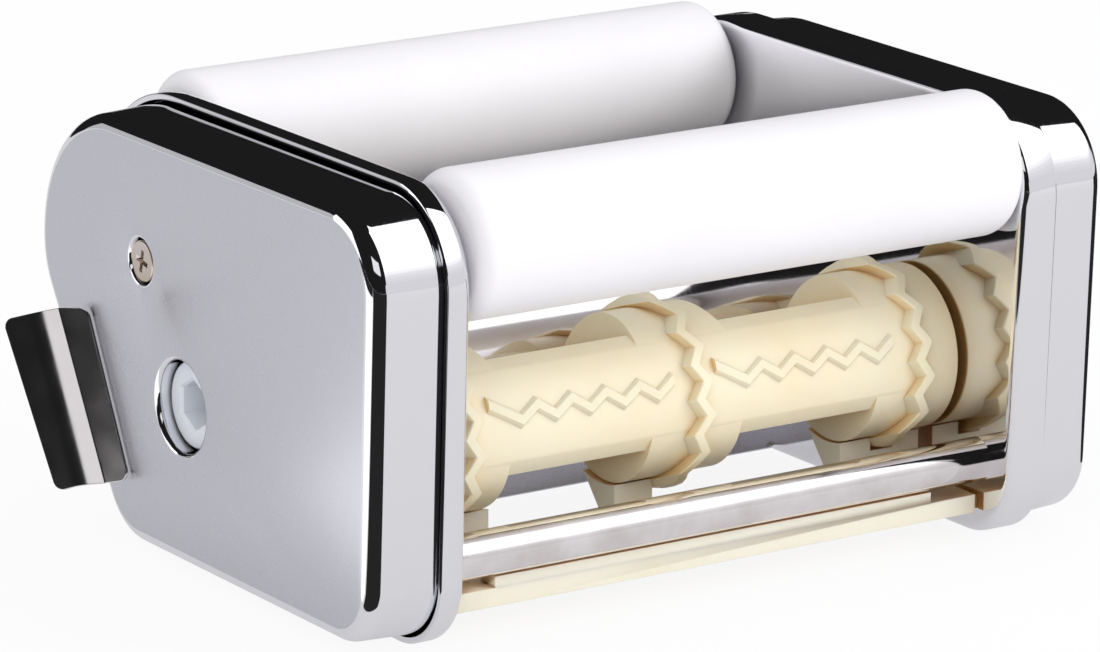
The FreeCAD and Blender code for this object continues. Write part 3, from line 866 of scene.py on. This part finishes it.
@dataclass
class TieRods:
    """Polished bars between the frames, front and rear."""

    half: float = 76.5
    radius: float = 5.25
    front: tuple = (-61.5, 18.7)
    rear: tuple = (40.24, 14.5)

    def build(self) -> None:
        """Makes both rods."""
        for name, (y, z) in (("front_tie_rod", self.front), ("rear_tie_rod", self.rear)):
            mesh = bmesh.new()
            turned_bar(mesh, -self.half, self.half, y, z, self.radius, 0.35, 96, 2)
            to_piece(mesh, f"{name}_bar", "housing", STEEL_BAR, (name,))


# Rolls


@dataclass
class FeedRollers:
    """White rollers that draw the dough in, free on their axles."""

    left_end: float = -74.8
    right_end: float = 73.7
    radius: float = 17.2
    edge: float = 4.0
    spots: dict = field(default_factory=lambda: {"front": (-62.4, 91.1), "rear": (52.5, 91.1)})

    def build(self) -> None:
        """Makes both rollers."""
        for word, (y, z) in self.spots.items():
            mesh = bmesh.new()
            turned_bar(mesh, self.left_end, self.right_end, y, z, self.radius, self.edge, 128, 10)
            name = f"{word}_feed_roller"
            to_piece(mesh, f"{name}_barrel", f"{name}_body",
                     WHITE_ROLLER_PLASTIC, (name,))


@dataclass
class CounterRoller:
    """Smooth steel tube against which the forming roll works."""

    half: float = 73.0
    radius: float = 22.9
    y: float = 10.6
    z: float = 40.8

    def build(self) -> None:
        """Makes the tube with its pressed end plugs."""
        mesh = bmesh.new()
        turned_bar(mesh, -self.half, self.half, self.y, self.z, self.radius, 0.6, 160, 3)
        for side in (-1, 1):
            cap = max((f for f in mesh.faces if f.normal.x * side > 0.99),
                      key=lambda f: f.calc_area())
            carry_face(mesh, cap, [(2.0, 0.0), (0.1, -0.5), (1.0, 0.0)])
        to_piece(mesh, "counter_roller_tube", "counter_roller_body", STEEL_TUBE,
                 ("counter_roller",))


@dataclass
class FormingRoll:
    """Cream roll with rings, zigzag crests, and bars with lands between deep pockets."""

    y: float = -35.4
    z: float = 40.8
    radius: float = 19.8
    half: float = 73.0
    land_tilt: float = 18.6
    pattern_x: float = -1.1
    centre_half: float = 12.5
    end_start: float = 51.0
    floor: float = 13.3
    floor_half: float = 13.3
    land_half: float = 10.7
    right_wall_lean: float = 0.3
    left_wall_lean: float = 0.14
    crest_height: float = 3.1
    crest_top: float = 2.8
    crest_foot: float = 4.0
    crest_swing: float = 1.3
    crest_widening: float = 0.025
    crest_pitch: float = 8.15
    crest_offset: float = 62.4
    crest_samples: int = 4
    arc_r: float = 1.4
    ridge_starts: tuple = (-57.7, 4.1)
    ridge_lead: float = 8.3
    ridge_pitch: float = 9.25
    ridge_waves: int = 5
    ridge_swing: float = 1.55
    ridge_height: float = 1.15
    ridge_top: float = 2.3
    ridge_foot: float = 3.9
    edge_r: float = 0.4
    bore_r: float = 5.0
    hub_r: float = 8.0
    hub_depth: float = 0.8
    land_steps: int = 28
    pocket_steps: int = 44
    root_sunk: float = 0.8

    def build(self) -> None:
        """Makes the roll's body, its crests and the ridges of its lands as one piece."""
        mesh = bmesh.new()
        self._body(mesh)
        for offset in (-self.crest_offset, 0.0, self.crest_offset):
            self._crest(mesh, self.pattern_x + offset)
        for start in self.ridge_starts:
            for land in (-1, 1):
                self._ridge(mesh, start, land)
        to_piece(mesh, "forming_roll_moulding", "forming_roll_body",
                 CREAM_ROLL_PLASTIC, ("forming_roll",), smooth=31.0, even=True)

    def _spot(self, along: float, across: float, x: float) -> Vector:
        """Point from its distances towards the land and across it."""
        angle = math.radians(180 - self.land_tilt)
        ly, lz = math.cos(angle), math.sin(angle)
        return Vector((x, self.y + along * ly + across * lz, self.z + along * lz - across * ly))

    def _across(self, point: Vector) -> float:
        """Distance of a point above the middle of the lands."""
        middle = self._spot(0, 0, 0)
        return (point - middle).dot(self._spot(0, 1, 0) - middle)

    def _along(self, point: Vector) -> float:
        """Distance of a point towards the front land."""
        middle = self._spot(0, 0, 0)
        return (point - middle).dot(self._spot(1, 0, 0) - middle)

    def _ring_loop(self, mesh: BMesh, x: float, radius: float) -> list:
        """Round loop with corners where the lands begin and end.

        Args:
            mesh: mesh that takes the loop.
            x: plane of the loop.
            radius: radius of the loop.

        Returns:
            The edges of the loop.
        """
        half = math.degrees(math.asin(self.land_half / self.radius))
        angle = math.radians(180 - self.land_tilt - half)
        corner = mesh.verts.new((x, self.y + radius * math.cos(angle),
                                 self.z + radius * math.sin(angle)))
        for degrees, steps in ((2 * half, self.land_steps),
                               (180 - 2 * half, self.pocket_steps)) * 2:
            corner = sweep(mesh, corner, (x, self.y, self.z), math.radians(degrees), steps)
        bmesh.ops.remove_doubles(mesh, verts=mesh.verts, dist=0.001)
        return mesh.edges[:]

    def _walls(self) -> tuple[float, ...]:
        """X of the four walls between rings and pockets."""
        offsets = (-self.end_start, -self.centre_half, self.centre_half, self.end_start)
        return tuple(self.pattern_x + offset for offset in offsets)

    def _body(self, mesh: BMesh) -> None:
        """Round bar with four pockets sunk between its rings."""
        soft = [(self.radius - self.edge_r * (1 - math.sin(math.radians(turn))),
                 self.half - self.edge_r * (1 - math.cos(math.radians(turn))))
                for turn in (0, 30, 60, 90)]
        face = [(self.hub_r, self.half - self.hub_depth), (self.hub_r + 0.5, self.half)]
        loop = self._ring_loop(mesh, -self.half + self.hub_depth, self.bore_r)
        loop = sink_loop(mesh, loop, (self.y, self.z), [(r, -x) for r, x in face + soft])
        walls = self._walls()
        loop = sink_loop(mesh, loop, (self.y, self.z), [(self.radius, x) for x in walls])
        sink_loop(mesh, loop, (self.y, self.z), soft[::-1] + face[::-1]
                  + [(self.bore_r, self.half - self.hub_depth)])
        for x0, x1 in (walls[:2], walls[2:]):
            for face in (-1, 1):
                cut = [f for f in mesh.faces
                       if abs(f.calc_center_median().x - (x0 + x1) / 2) < 1
                       and self._across(f.calc_center_median()) * face > self.land_half]
                bmesh.ops.delete(mesh, geom=cut, context="FACES")
                self._pocket(mesh, x0, x1, face)
        self._lean_walls(mesh)
        bmesh.ops.recalc_face_normals(mesh, faces=mesh.faces)
        arcs = [e for e in sharp_edges(mesh, 12) if abs(e.verts[0].co.x - e.verts[1].co.x) < 1
                and all(abs(v.co.x - self.pattern_x) < self.end_start + 6
                        and abs(self._across(v.co)) > self.land_half + 0.5
                        and math.hypot(self._across(v.co), self._along(v.co)) > self.radius - 0.1
                        for v in e.verts)]
        bevel_edges(mesh, arcs, self.arc_r, 5)
        rims = [e for e in sharp_edges(mesh, 40)
                if all(abs(v.co.x - self.pattern_x) < self.end_start + 6 for v in e.verts)]
        bevel_edges(mesh, rims, self.edge_r, 3)

    def _pocket(self, mesh: BMesh, x0: float, x1: float, face: int) -> None:
        """Shoulders, floor and end walls of one pocket.

        Args:
            mesh: mesh with the pocket's opening cut out.
            x0: left wall.
            x1: right wall.
            face: 1 above the lands, -1 below them.
        """
        open_edges = [e for e in mesh.edges if e.is_boundary
                      and all(x0 - 0.1 < v.co.x < x1 + 0.1
                              and self._across(v.co) * face > self.land_half - 0.1
                              for v in e.verts)]
        lines = [e for e in open_edges if abs(e.verts[0].co.x - e.verts[1].co.x) > 1]
        floor = []
        for line in lines:
            ends, far, _ = grow(mesh, [line])
            floor += far
            towards = math.copysign(self.floor_half, self._along(ends[0].co))
            for v in ends:
                v.co = self._spot(towards, face * self.floor, v.co.x)
        bmesh.ops.contextual_create(mesh, geom=floor)
        for x in (x0, x1):
            ring = [e for e in edges_at_x(mesh, x) if e.is_boundary
                    and all(self._across(v.co) * face > self.land_half - 0.1 for v in e.verts)]
            bmesh.ops.contextual_create(mesh, geom=ring)

    def _lean_walls(self, mesh: BMesh) -> None:
        """Draft of the upper pocket walls, which lean back from the pockets."""
        leans = (-self.right_wall_lean, self.left_wall_lean) * 2
        for x, lean in zip(self._walls(), leans):
            for v in mesh.verts:
                rise = self._across(v.co) - self.land_half
                if abs(v.co.x - x) < 0.01 and rise > 0:
                    v.co.x += lean * rise

    def _crest(self, mesh: BMesh, x: float) -> None:
        """Zigzag crest around a ring, straight along the pull of its two-part mould.

        Args:
            mesh: mesh that takes the crest.
            x: middle of the crest.
        """
        crown = self.radius + self.crest_height
        root = self.radius - self.root_sunk
        section = rib_section(self.crest_top, self.crest_foot, root, crown, 0.05, 0.25)
        step = self.crest_pitch / 2 / self.crest_samples
        count = int(crown / step)
        turns = [math.asin(step * index / crown) for index in range(-count, count + 1)]
        turns += [math.pi / 2] + [math.pi - turn for turn in reversed(turns)]
        turns += [3 * math.pi / 2, turns[0] + 2 * math.pi]
        corners = [mesh.verts.new(self._spot(radius * math.cos(turns[0]),
                                             radius * math.sin(turns[0]), x + wide))
                   for wide, radius in section]
        made = list(corners)
        loop = join_up(mesh, corners)
        for before, after in zip(turns, turns[1:]):
            ends, loop, _ = grow(mesh, loop)
            bmesh.ops.rotate(mesh, verts=ends, cent=(x, self.y, self.z),
                             matrix=Matrix.Rotation(-(after - before), 3, "X"))
            made += ends
        for v in made:
            self._swing(v, crown, root)
        shells = [f for f in {f for v in made for f in v.link_faces}
                  if all(abs(self._along(v.co)) < 1e-4 for v in f.verts)]
        bmesh.ops.delete(mesh, geom=shells, context="FACES_ONLY")

    def _swing(self, corner: BMVert, crown: float, root: float) -> None:
        """Sets a crest's corner to the zigzag, and its foot straight below its crown."""
        across, along = self._across(corner.co), self._along(corner.co)
        if abs(math.hypot(across, along) - root) < 0.01:
            across *= crown / root
            reach = math.sqrt(max(root ** 2 - across ** 2, 0.0))
            corner.co = self._spot(math.copysign(reach, along), across, corner.co.x)
        swing = self.crest_swing + self.crest_widening * abs(across)
        wave = (across / self.crest_pitch + 0.5) % 1.0
        corner.co.x += swing * (1 - 4 * abs(wave - 0.5))

    def _ridge(self, mesh: BMesh, start: float, land: int) -> None:
        """Raised zigzag ridge along a land, a small section carried from bend to bend.

        Args:
            mesh: mesh that takes the ridge.
            start: X where the ridge begins.
            land: 1 for the front land, -1 for the one behind.
        """
        half_pitch = self.ridge_pitch / 2
        path = [(start, 2 * self.ridge_swing)]
        for bend in range(2 * self.ridge_waves):
            path.append((start + self.ridge_lead + bend * half_pitch,
                         self.ridge_swing * (-1) ** (bend + 1)))
        section = rib_section(self.ridge_top, self.ridge_foot, -0.3, self.ridge_height,
                              0.15, 0.15)
        corners = [mesh.verts.new(self._spot(land * (self.radius + rise - 0.05),
                                             land * (path[0][1] + wide), start))
                   for wide, rise in section]
        loop = join_up(mesh, corners)
        first = list(loop)
        for (x0, low), (x1, high) in zip(path, path[1:]):
            ends, loop, _ = grow(mesh, loop)
            bmesh.ops.translate(mesh, verts=ends, vec=self._spot(0, land * (high - low), x1)
                                - self._spot(0, 0, x0))
        bmesh.ops.contextual_create(mesh, geom=first)
        bmesh.ops.contextual_create(mesh, geom=loop)


@dataclass
class CrankSocket:
    """White nylon hub with the hexagonal opening for the crank."""

    y: float = 10.6
    z: float = 40.8
    radius: float = 10.3
    face_x: float = 96.6
    inner_x: float = 82.0
    depth: float = 9.0
    flats: float = 10.5
    chamfer: float = 0.7
    edge_r: float = 0.8

    def build(self) -> None:
        """Makes the hub."""
        mesh = bmesh.new()
        turned_bar(mesh, -self.face_x, -self.inner_x, self.y, self.z, self.radius,
                   self.edge_r, 96, 4)
        rim = open_crown(mesh)
        corner = self.flats / math.sqrt(3)
        hexagon = circle_loop(mesh, -self.face_x, self.y, self.z, corner + self.chamfer, 6)
        corners = list({v for e in hexagon for v in e.verts})
        bmesh.ops.rotate(mesh, cent=(-self.face_x, self.y, self.z), verts=corners,
                         matrix=Matrix.Rotation(math.radians(30), 3, "X"))
        bmesh.ops.triangle_fill(mesh, use_beauty=True, use_dissolve=False,
                                edges=rim + hexagon, normal=(-1, 0, 0))
        last = sink_loop(mesh, hexagon, (self.y, self.z),
                         [(corner, -self.face_x + self.chamfer),
                          (corner, -self.face_x + self.depth)])
        bmesh.ops.contextual_create(mesh, geom=last)
        to_piece(mesh, "crank_socket_hub", "counter_roller_body", WHITE_NYLON,
                 ("crank_socket",))


# Comb and plate


@dataclass
class ScraperComb:
    """Cream comb whose fingers lift the dough off the rings of the forming roll."""

    half: float = 73.0
    tab_end: float = 79.8
    front_y: float = -62.6
    bottom_z: float = 6.0
    base_z: float = 10.4
    bead_z: float = 13.0
    bead_back_y: float = -56.6
    bead_ends: tuple = (-61.4, 60.0)
    finger_front_y: float = -41.0
    finger_tip_y: float = -28.0
    finger_heel: tuple = (-36.0, 12.5)
    finger_foot_y: float = -38.0
    roll_axis: tuple = (-35.4, 40.8)
    ring_r: float = 20.2
    groove_r: float = 23.3
    groove_half: float = 3.2
    edge_r: float = 0.5
    fingers: tuple = ((-72.2, -49.3, -63.5), (-14.8, -4.3, -1.1), (49.3, 72.2, 61.3))
    tab: tuple = ((-60.0, 6.0), (-60.0, 9.4), (-48.0, 9.4), (-48.0, 6.0))

    def build(self) -> None:
        """Makes the comb as one moulding."""
        mesh = bmesh.new()
        base = [(self.front_y, self.bottom_z), (self.front_y, self.base_z),
                (self.finger_front_y + 1, self.base_z), (self.finger_front_y + 1, self.bottom_z)]
        prism(mesh, section_loop(mesh, -self.half, base), self.half)
        left, right = self.bead_ends
        cuts = (((left, 0, 0), (1, 0, 0)), ((right, 0, 0), (1, 0, 0)),
                ((0, self.bead_back_y, 0), (0, 1, 0)))
        for spot, normal in cuts:
            bmesh.ops.bisect_plane(mesh, geom=mesh.verts[:] + mesh.edges[:] + mesh.faces[:],
                                   plane_co=spot, plane_no=normal)
        bead = [f for f in mesh.faces if f.calc_center_median().z > self.base_z - 0.01
                and left < f.calc_center_median().x < right
                and f.calc_center_median().y < self.bead_back_y]
        raised = bmesh.ops.extrude_face_region(mesh, geom=bead)["geom"]
        bmesh.ops.translate(mesh, verts=corners_of(raised),
                            vec=(0, 0, self.bead_z - self.base_z))
        bmesh.ops.dissolve_limit(mesh, angle_limit=math.radians(1), verts=mesh.verts,
                                 edges=mesh.edges)
        for side in (-1, 1):
            prism(mesh, section_loop(mesh, side * (self.half - 2), list(self.tab)),
                  side * self.tab_end)
        for x0, x1, crest in self.fingers:
            stations = [(x0, self.ring_r)]
            for x, reach in ((crest - self.groove_half, self.groove_r),
                             (crest + self.groove_half, self.ring_r)):
                if x0 < x < x1 - 0.5:
                    stations += [(x, stations[-1][1]), (x, reach)]
            self._finger(mesh, stations + [(x1, stations[-1][1])])
        bmesh.ops.recalc_face_normals(mesh, faces=mesh.faces)
        bevel_edges(mesh, sharp_edges(mesh, 50), self.edge_r, 3)
        to_piece(mesh, "scraper_comb_moulding", "housing", CREAM_COMB_PLASTIC,
                 ("scraper_comb",), smooth=31.0, even=True)

    def _finger(self, mesh: BMesh, stations: list[tuple[float, float]]) -> None:
        """Finger that rises under a ring and ends in a thin tip, with a groove for the crest.

        Args:
            mesh: mesh that takes the finger.
            stations: X of each section, and the radius that it keeps free around the roll.
        """
        y, z = self.roll_axis
        x, reach = stations[0]
        start = math.acos((self.finger_front_y - y) / reach)
        end = math.acos((self.finger_tip_y - y) / reach)
        first = mesh.verts.new((x, self.finger_front_y, z - reach * math.sin(start)))
        last = sweep(mesh, first, (x, y, z), start - end, 12)
        low = [self.finger_heel, (self.finger_foot_y, self.bottom_z),
               (self.finger_front_y, self.bottom_z)]
        chain = [last] + [mesh.verts.new((x, a, b)) for a, b in low] + [first]
        for pair in zip(chain, chain[1:]):
            mesh.edges.new(pair)
        loop = [e for e in mesh.edges if not e.link_faces]
        bmesh.ops.contextual_create(mesh, geom=loop)
        for x, reach in stations[1:]:
            ends, loop, _ = grow(mesh, loop)
            for v in ends:
                v.co.x = x
                if v.co.z > self.finger_heel[1] + 1:
                    v.co.z = z - math.sqrt(reach ** 2 - (v.co.y - y) ** 2)
        bmesh.ops.contextual_create(mesh, geom=loop)


@dataclass
class CarriedOver:
    """Pieces whose source shape is right and which get a better material."""

    finishes: dict = field(default_factory=lambda: {
        "cover_posts": GEAR_STEEL,
        "front_feed_axle": STEEL_BAR,
        "rear_feed_axle": STEEL_BAR,
        "forming_roll_shaft": STEEL_BAR,
        "counter_roller_shaft": STEEL_BAR,
        "forming_roll_gear": GEAR_STEEL,
        "counter_roller_gear": GEAR_STEEL,
        "forming_roll_bushes": WHITE_NYLON,
        "counter_roller_bushes": WHITE_NYLON,
        "rod_screws": NICKEL_SCREW,
        "rear_guide_plate": ROLLED_SHEET,
    })

    def build(self) -> None:
        """Puts the materials on the nodes' slots."""
        for name, finish in self.finishes.items():
            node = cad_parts[name]
            if not node.material_slots:
                node.data.materials.append(None)
            for slot in node.material_slots:
                slot.material = finish.material()
            log.info("dressed %s in %s", name, finish.name)


# Stage


@dataclass
class Studio:
    """White table in a dark room with white openings, soft lamps and the camera."""

    camera_mm: tuple = (-775.03, -1168.68, 426.58)
    azimuth: float = -33.357
    elevation: float = 15.111
    roll: float = 0.150
    focal_px: float = 6162.38
    room_r: float = 3.0
    window_azimuth: tuple = (96.0, 172.0)
    window_top: float = 78.0
    wall_azimuth: tuple = (88.0, 178.0)
    window_glow: tuple = ((11.0, 0.75), (14.0, 0.79), (17.0, 0.85), (19.5, 0.93), (21.5, 1.04),
                          (23.5, 1.2), (25.5, 1.5))
    slot: tuple = ((-162.0, -124.0), (21.0, 38.0))
    slot_level: float = 0.86
    side_window: tuple = ((-64.0, -40.0), (-4.0, 24.0))
    low_wall: tuple = (-58.0, -22.0)
    low_wall_top: float = 15.0

    def build(self) -> None:
        """Sets up the whole stage."""
        self._camera()
        self._table()
        self._room()
        self._cards()
        self._world()
        self._lamps()
        bpy.context.scene.view_settings.view_transform = "Standard"

    def _camera(self) -> None:
        """Camera at the photograph's place."""
        a, e, r = (math.radians(v) for v in (self.azimuth, self.elevation, self.roll))
        back = Vector((math.sin(a) * math.cos(e), -math.cos(a) * math.cos(e), math.sin(e)))
        right = (-back).cross(Vector((0, 0, 1))).normalized()
        up = back.cross(right)
        right, up = (right * math.cos(r) + up * math.sin(r),
                     up * math.cos(r) - right * math.sin(r))
        lens = bpy.data.cameras.new("studio_camera")
        lens.sensor_fit = "HORIZONTAL"
        lens.sensor_width = 36.0
        lens.lens = 36.0 * self.focal_px / PICTURE_WIDTH
        lens.clip_start = 0.05
        lens.clip_end = 50.0
        camera = to_scene("studio_camera", lens)
        place = Matrix((right, up, back)).transposed().to_4x4()
        place.translation = Vector(self.camera_mm) * MM
        camera.matrix_world = place
        bpy.context.scene.camera = camera

    def _stage_piece(self, mesh: BMesh, name: str,
                     materials: list[Material], mirror_only: bool) -> None:
        """Links a piece of the stage.

        Args:
            mesh: its mesh in metres.
            name: its name.
            materials: its materials.
            mirror_only: shows it only in reflections.
        """
        data = bpy.data.meshes.new(name)
        mesh.to_mesh(data)
        mesh.free()
        thing = to_scene(name, data)
        for material in materials:
            data.materials.append(material)
        if mirror_only:
            for ray in ("camera", "diffuse", "transmission", "volume_scatter", "shadow"):
                setattr(thing, f"visible_{ray}", False)

    def _glowing(self, name: str, level: float) -> Material:
        """Surface that shows one even level of grey, whatever the light."""
        material = bpy.data.materials.new(name)
        tree = fresh_tree(material)
        glow = add_node(tree, "ShaderNodeEmission",
                        inputs={"Color": (level, level, level * 1.03, 1.0), "Strength": 1.0})
        add_node(tree, "ShaderNodeOutputMaterial", inputs={"Surface": glow.outputs[0]})
        return material

    def _table(self) -> None:
        """White table top that keeps the object's shadow."""
        mesh = bmesh.new()
        bmesh.ops.create_grid(mesh, x_segments=1, y_segments=1, size=6.0)
        material = bpy.data.materials.new("white_table_top")
        tree = fresh_tree(material)
        path = add_node(tree, "ShaderNodeLightPath")
        tone = add_node(tree, "ShaderNodeMix", {"data_type": "RGBA"}, {
            "Factor": path.outputs["Is Glossy Ray"], 6: linear("FFFFFF"), 7: linear("D4D4D7")})
        paper = add_node(tree, "ShaderNodeBsdfDiffuse", inputs={"Color": linear("F7F7F8")})
        white = add_node(tree, "ShaderNodeEmission",
                         inputs={"Color": tone.outputs[2], "Strength": 1.0})
        share = add_node(tree, "ShaderNodeMath", {"operation": "MULTIPLY"}, {
            0: path.outputs["Is Camera Ray"], 1: 0.9})
        share = add_node(tree, "ShaderNodeMath", {"operation": "MULTIPLY_ADD"}, {
            0: path.outputs["Is Glossy Ray"], 1: 0.75, 2: share.outputs[0]})
        mix = add_node(tree, "ShaderNodeMixShader", inputs={
            0: share.outputs[0], 1: paper.outputs[0], 2: white.outputs[0]})
        add_node(tree, "ShaderNodeOutputMaterial", inputs={"Surface": mix.outputs[0]})
        self._stage_piece(mesh, "white_table", [material], False)

    def _room(self) -> None:
        """Dark room that only mirrors see, with its windows, slot and grey walls."""
        mesh = bmesh.new()
        bmesh.ops.create_uvsphere(mesh, u_segments=180, v_segments=120, radius=self.room_r)
        levels = [("black_curtain", 0.012), ("grey_wall", 0.72), ("low_back_wall", 0.5)]
        levels += [(f"window_glow_{i}", level) for i, (_, level) in enumerate(self.window_glow)]
        levels.append(("slot_glow", self.slot_level))
        openings = ((self.slot, len(levels) - 1), (self.side_window, len(levels) - 2))
        gone = []
        for face in mesh.faces:
            x, y, z = face.calc_center_median().normalized()
            azimuth = math.degrees(math.atan2(x, y))
            elevation = math.degrees(math.asin(z))
            if elevation < -4:
                gone.append(face)
            elif (self.window_azimuth[0] < azimuth < self.window_azimuth[1]
                    and self.window_glow[0][0] < elevation < self.window_top):
                face.material_index = 2 + sum(low < elevation for low, _ in self.window_glow)
            elif (self.wall_azimuth[0] < azimuth < self.wall_azimuth[1]
                    and elevation < self.window_glow[0][0]):
                face.material_index = 1
            elif lit := [index for opening, index in openings
                         if all(low < angle < high for angle, (low, high)
                                in zip((azimuth, elevation), opening))]:
                face.material_index = lit[0]
            elif (self.low_wall[0] < azimuth < self.low_wall[1]
                    and elevation < self.low_wall_top):
                face.material_index = 2
        bmesh.ops.delete(mesh, geom=gone, context="FACES")
        self._stage_piece(mesh, "dark_room", [self._glowing(*item) for item in levels], True)

    def _cards(self) -> None:
        """Cards on the table that draw the dark and the white line along the covers' edges."""
        outlines = {
            "front_card": ([(-0.1, -0.085), (0.25, -2.9), (-2.0, -2.2), (-2.8, -0.75),
                            (-0.125, -0.06)], 0.02),
            "right_card": ([(0.14, -0.075), (1.4, -0.8), (2.6, 1.5), (0.6, 1.7),
                            (0.14, 0.09)], 0.02),
            "white_card": ([(-0.13, -0.055), (-0.6, -0.16), (-0.6, 0.03), (-0.5, 0.33),
                            (-0.16, 0.06)], 1.25),
            "far_card": ([(-0.6, -0.16), (-2.8, -0.74), (-2.6, 1.5), (-0.5, 0.33),
                          (-0.6, 0.03)], 0.02),
        }
        for name, (corners, level) in outlines.items():
            mesh = bmesh.new()
            mesh.faces.new([mesh.verts.new((x, y, 0.0004)) for x, y in corners])
            self._stage_piece(mesh, name, [self._glowing(f"{name}_paper", level)], True)

    def _world(self) -> None:
        """White room for the camera and the mirrors, a softer one for the light."""
        world = bpy.data.worlds.new("studio_room")
        bpy.context.scene.world = world
        tree = fresh_tree(world)
        path = add_node(tree, "ShaderNodeLightPath")
        seen = add_node(tree, "ShaderNodeMath", {"operation": "MAXIMUM"}, {
            0: path.outputs["Is Camera Ray"], 1: path.outputs["Is Glossy Ray"]})
        dim = add_node(tree, "ShaderNodeBackground", inputs={
            "Color": linear("FEFDFE"), "Strength": 0.84})
        white = add_node(tree, "ShaderNodeBackground", inputs={
            "Color": linear("FFFFFF"), "Strength": 1.0})
        mix = add_node(tree, "ShaderNodeMixShader", inputs={
            0: seen.outputs[0], 1: dim.outputs[0], 2: white.outputs[0]})
        add_node(tree, "ShaderNodeOutputWorld", inputs={"Surface": mix.outputs[0]})

    def _lamps(self) -> None:
        """Large soft lamp above the front right, a weak one on top and one at the left."""
        for name, spot, size, power in (("key_softbox", (1.0, -1.05, 0.9), 0.8, 7.4),
                                        ("top_softbox", (0.05, 0.1, 1.3), 0.9, 1.0),
                                        ("fill_softbox", (-1.0, -1.2, 0.8), 0.8, 3.8)):
            lamp = bpy.data.lights.new(name, "AREA")
            lamp.size = size
            lamp.energy = power
            holder = to_scene(name, lamp)
            holder.visible_glossy = False
            holder.location = spot
            aim = Vector((0, 0, 0.05)) - Vector(spot)
            holder.rotation_euler = aim.to_track_quat("-Z", "Y").to_euler()


def main() -> None:
    """Builds the attachment's sub-assemblies in order, then the stage."""
    logging.basicConfig(level=logging.INFO, format="%(name)s: %(message)s")
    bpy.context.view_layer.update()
    for assembly in (SideFrames(), SideCovers(), MountingBrackets(), TieRods(), FeedRollers(),
                     CounterRoller(), FormingRoll(), CrankSocket(), ScraperComb(), CarriedOver(),
                     Studio()):
        assembly.build()
        log.info("finished %s", type(assembly).__name__)


if __name__ == "__main__":
    main()
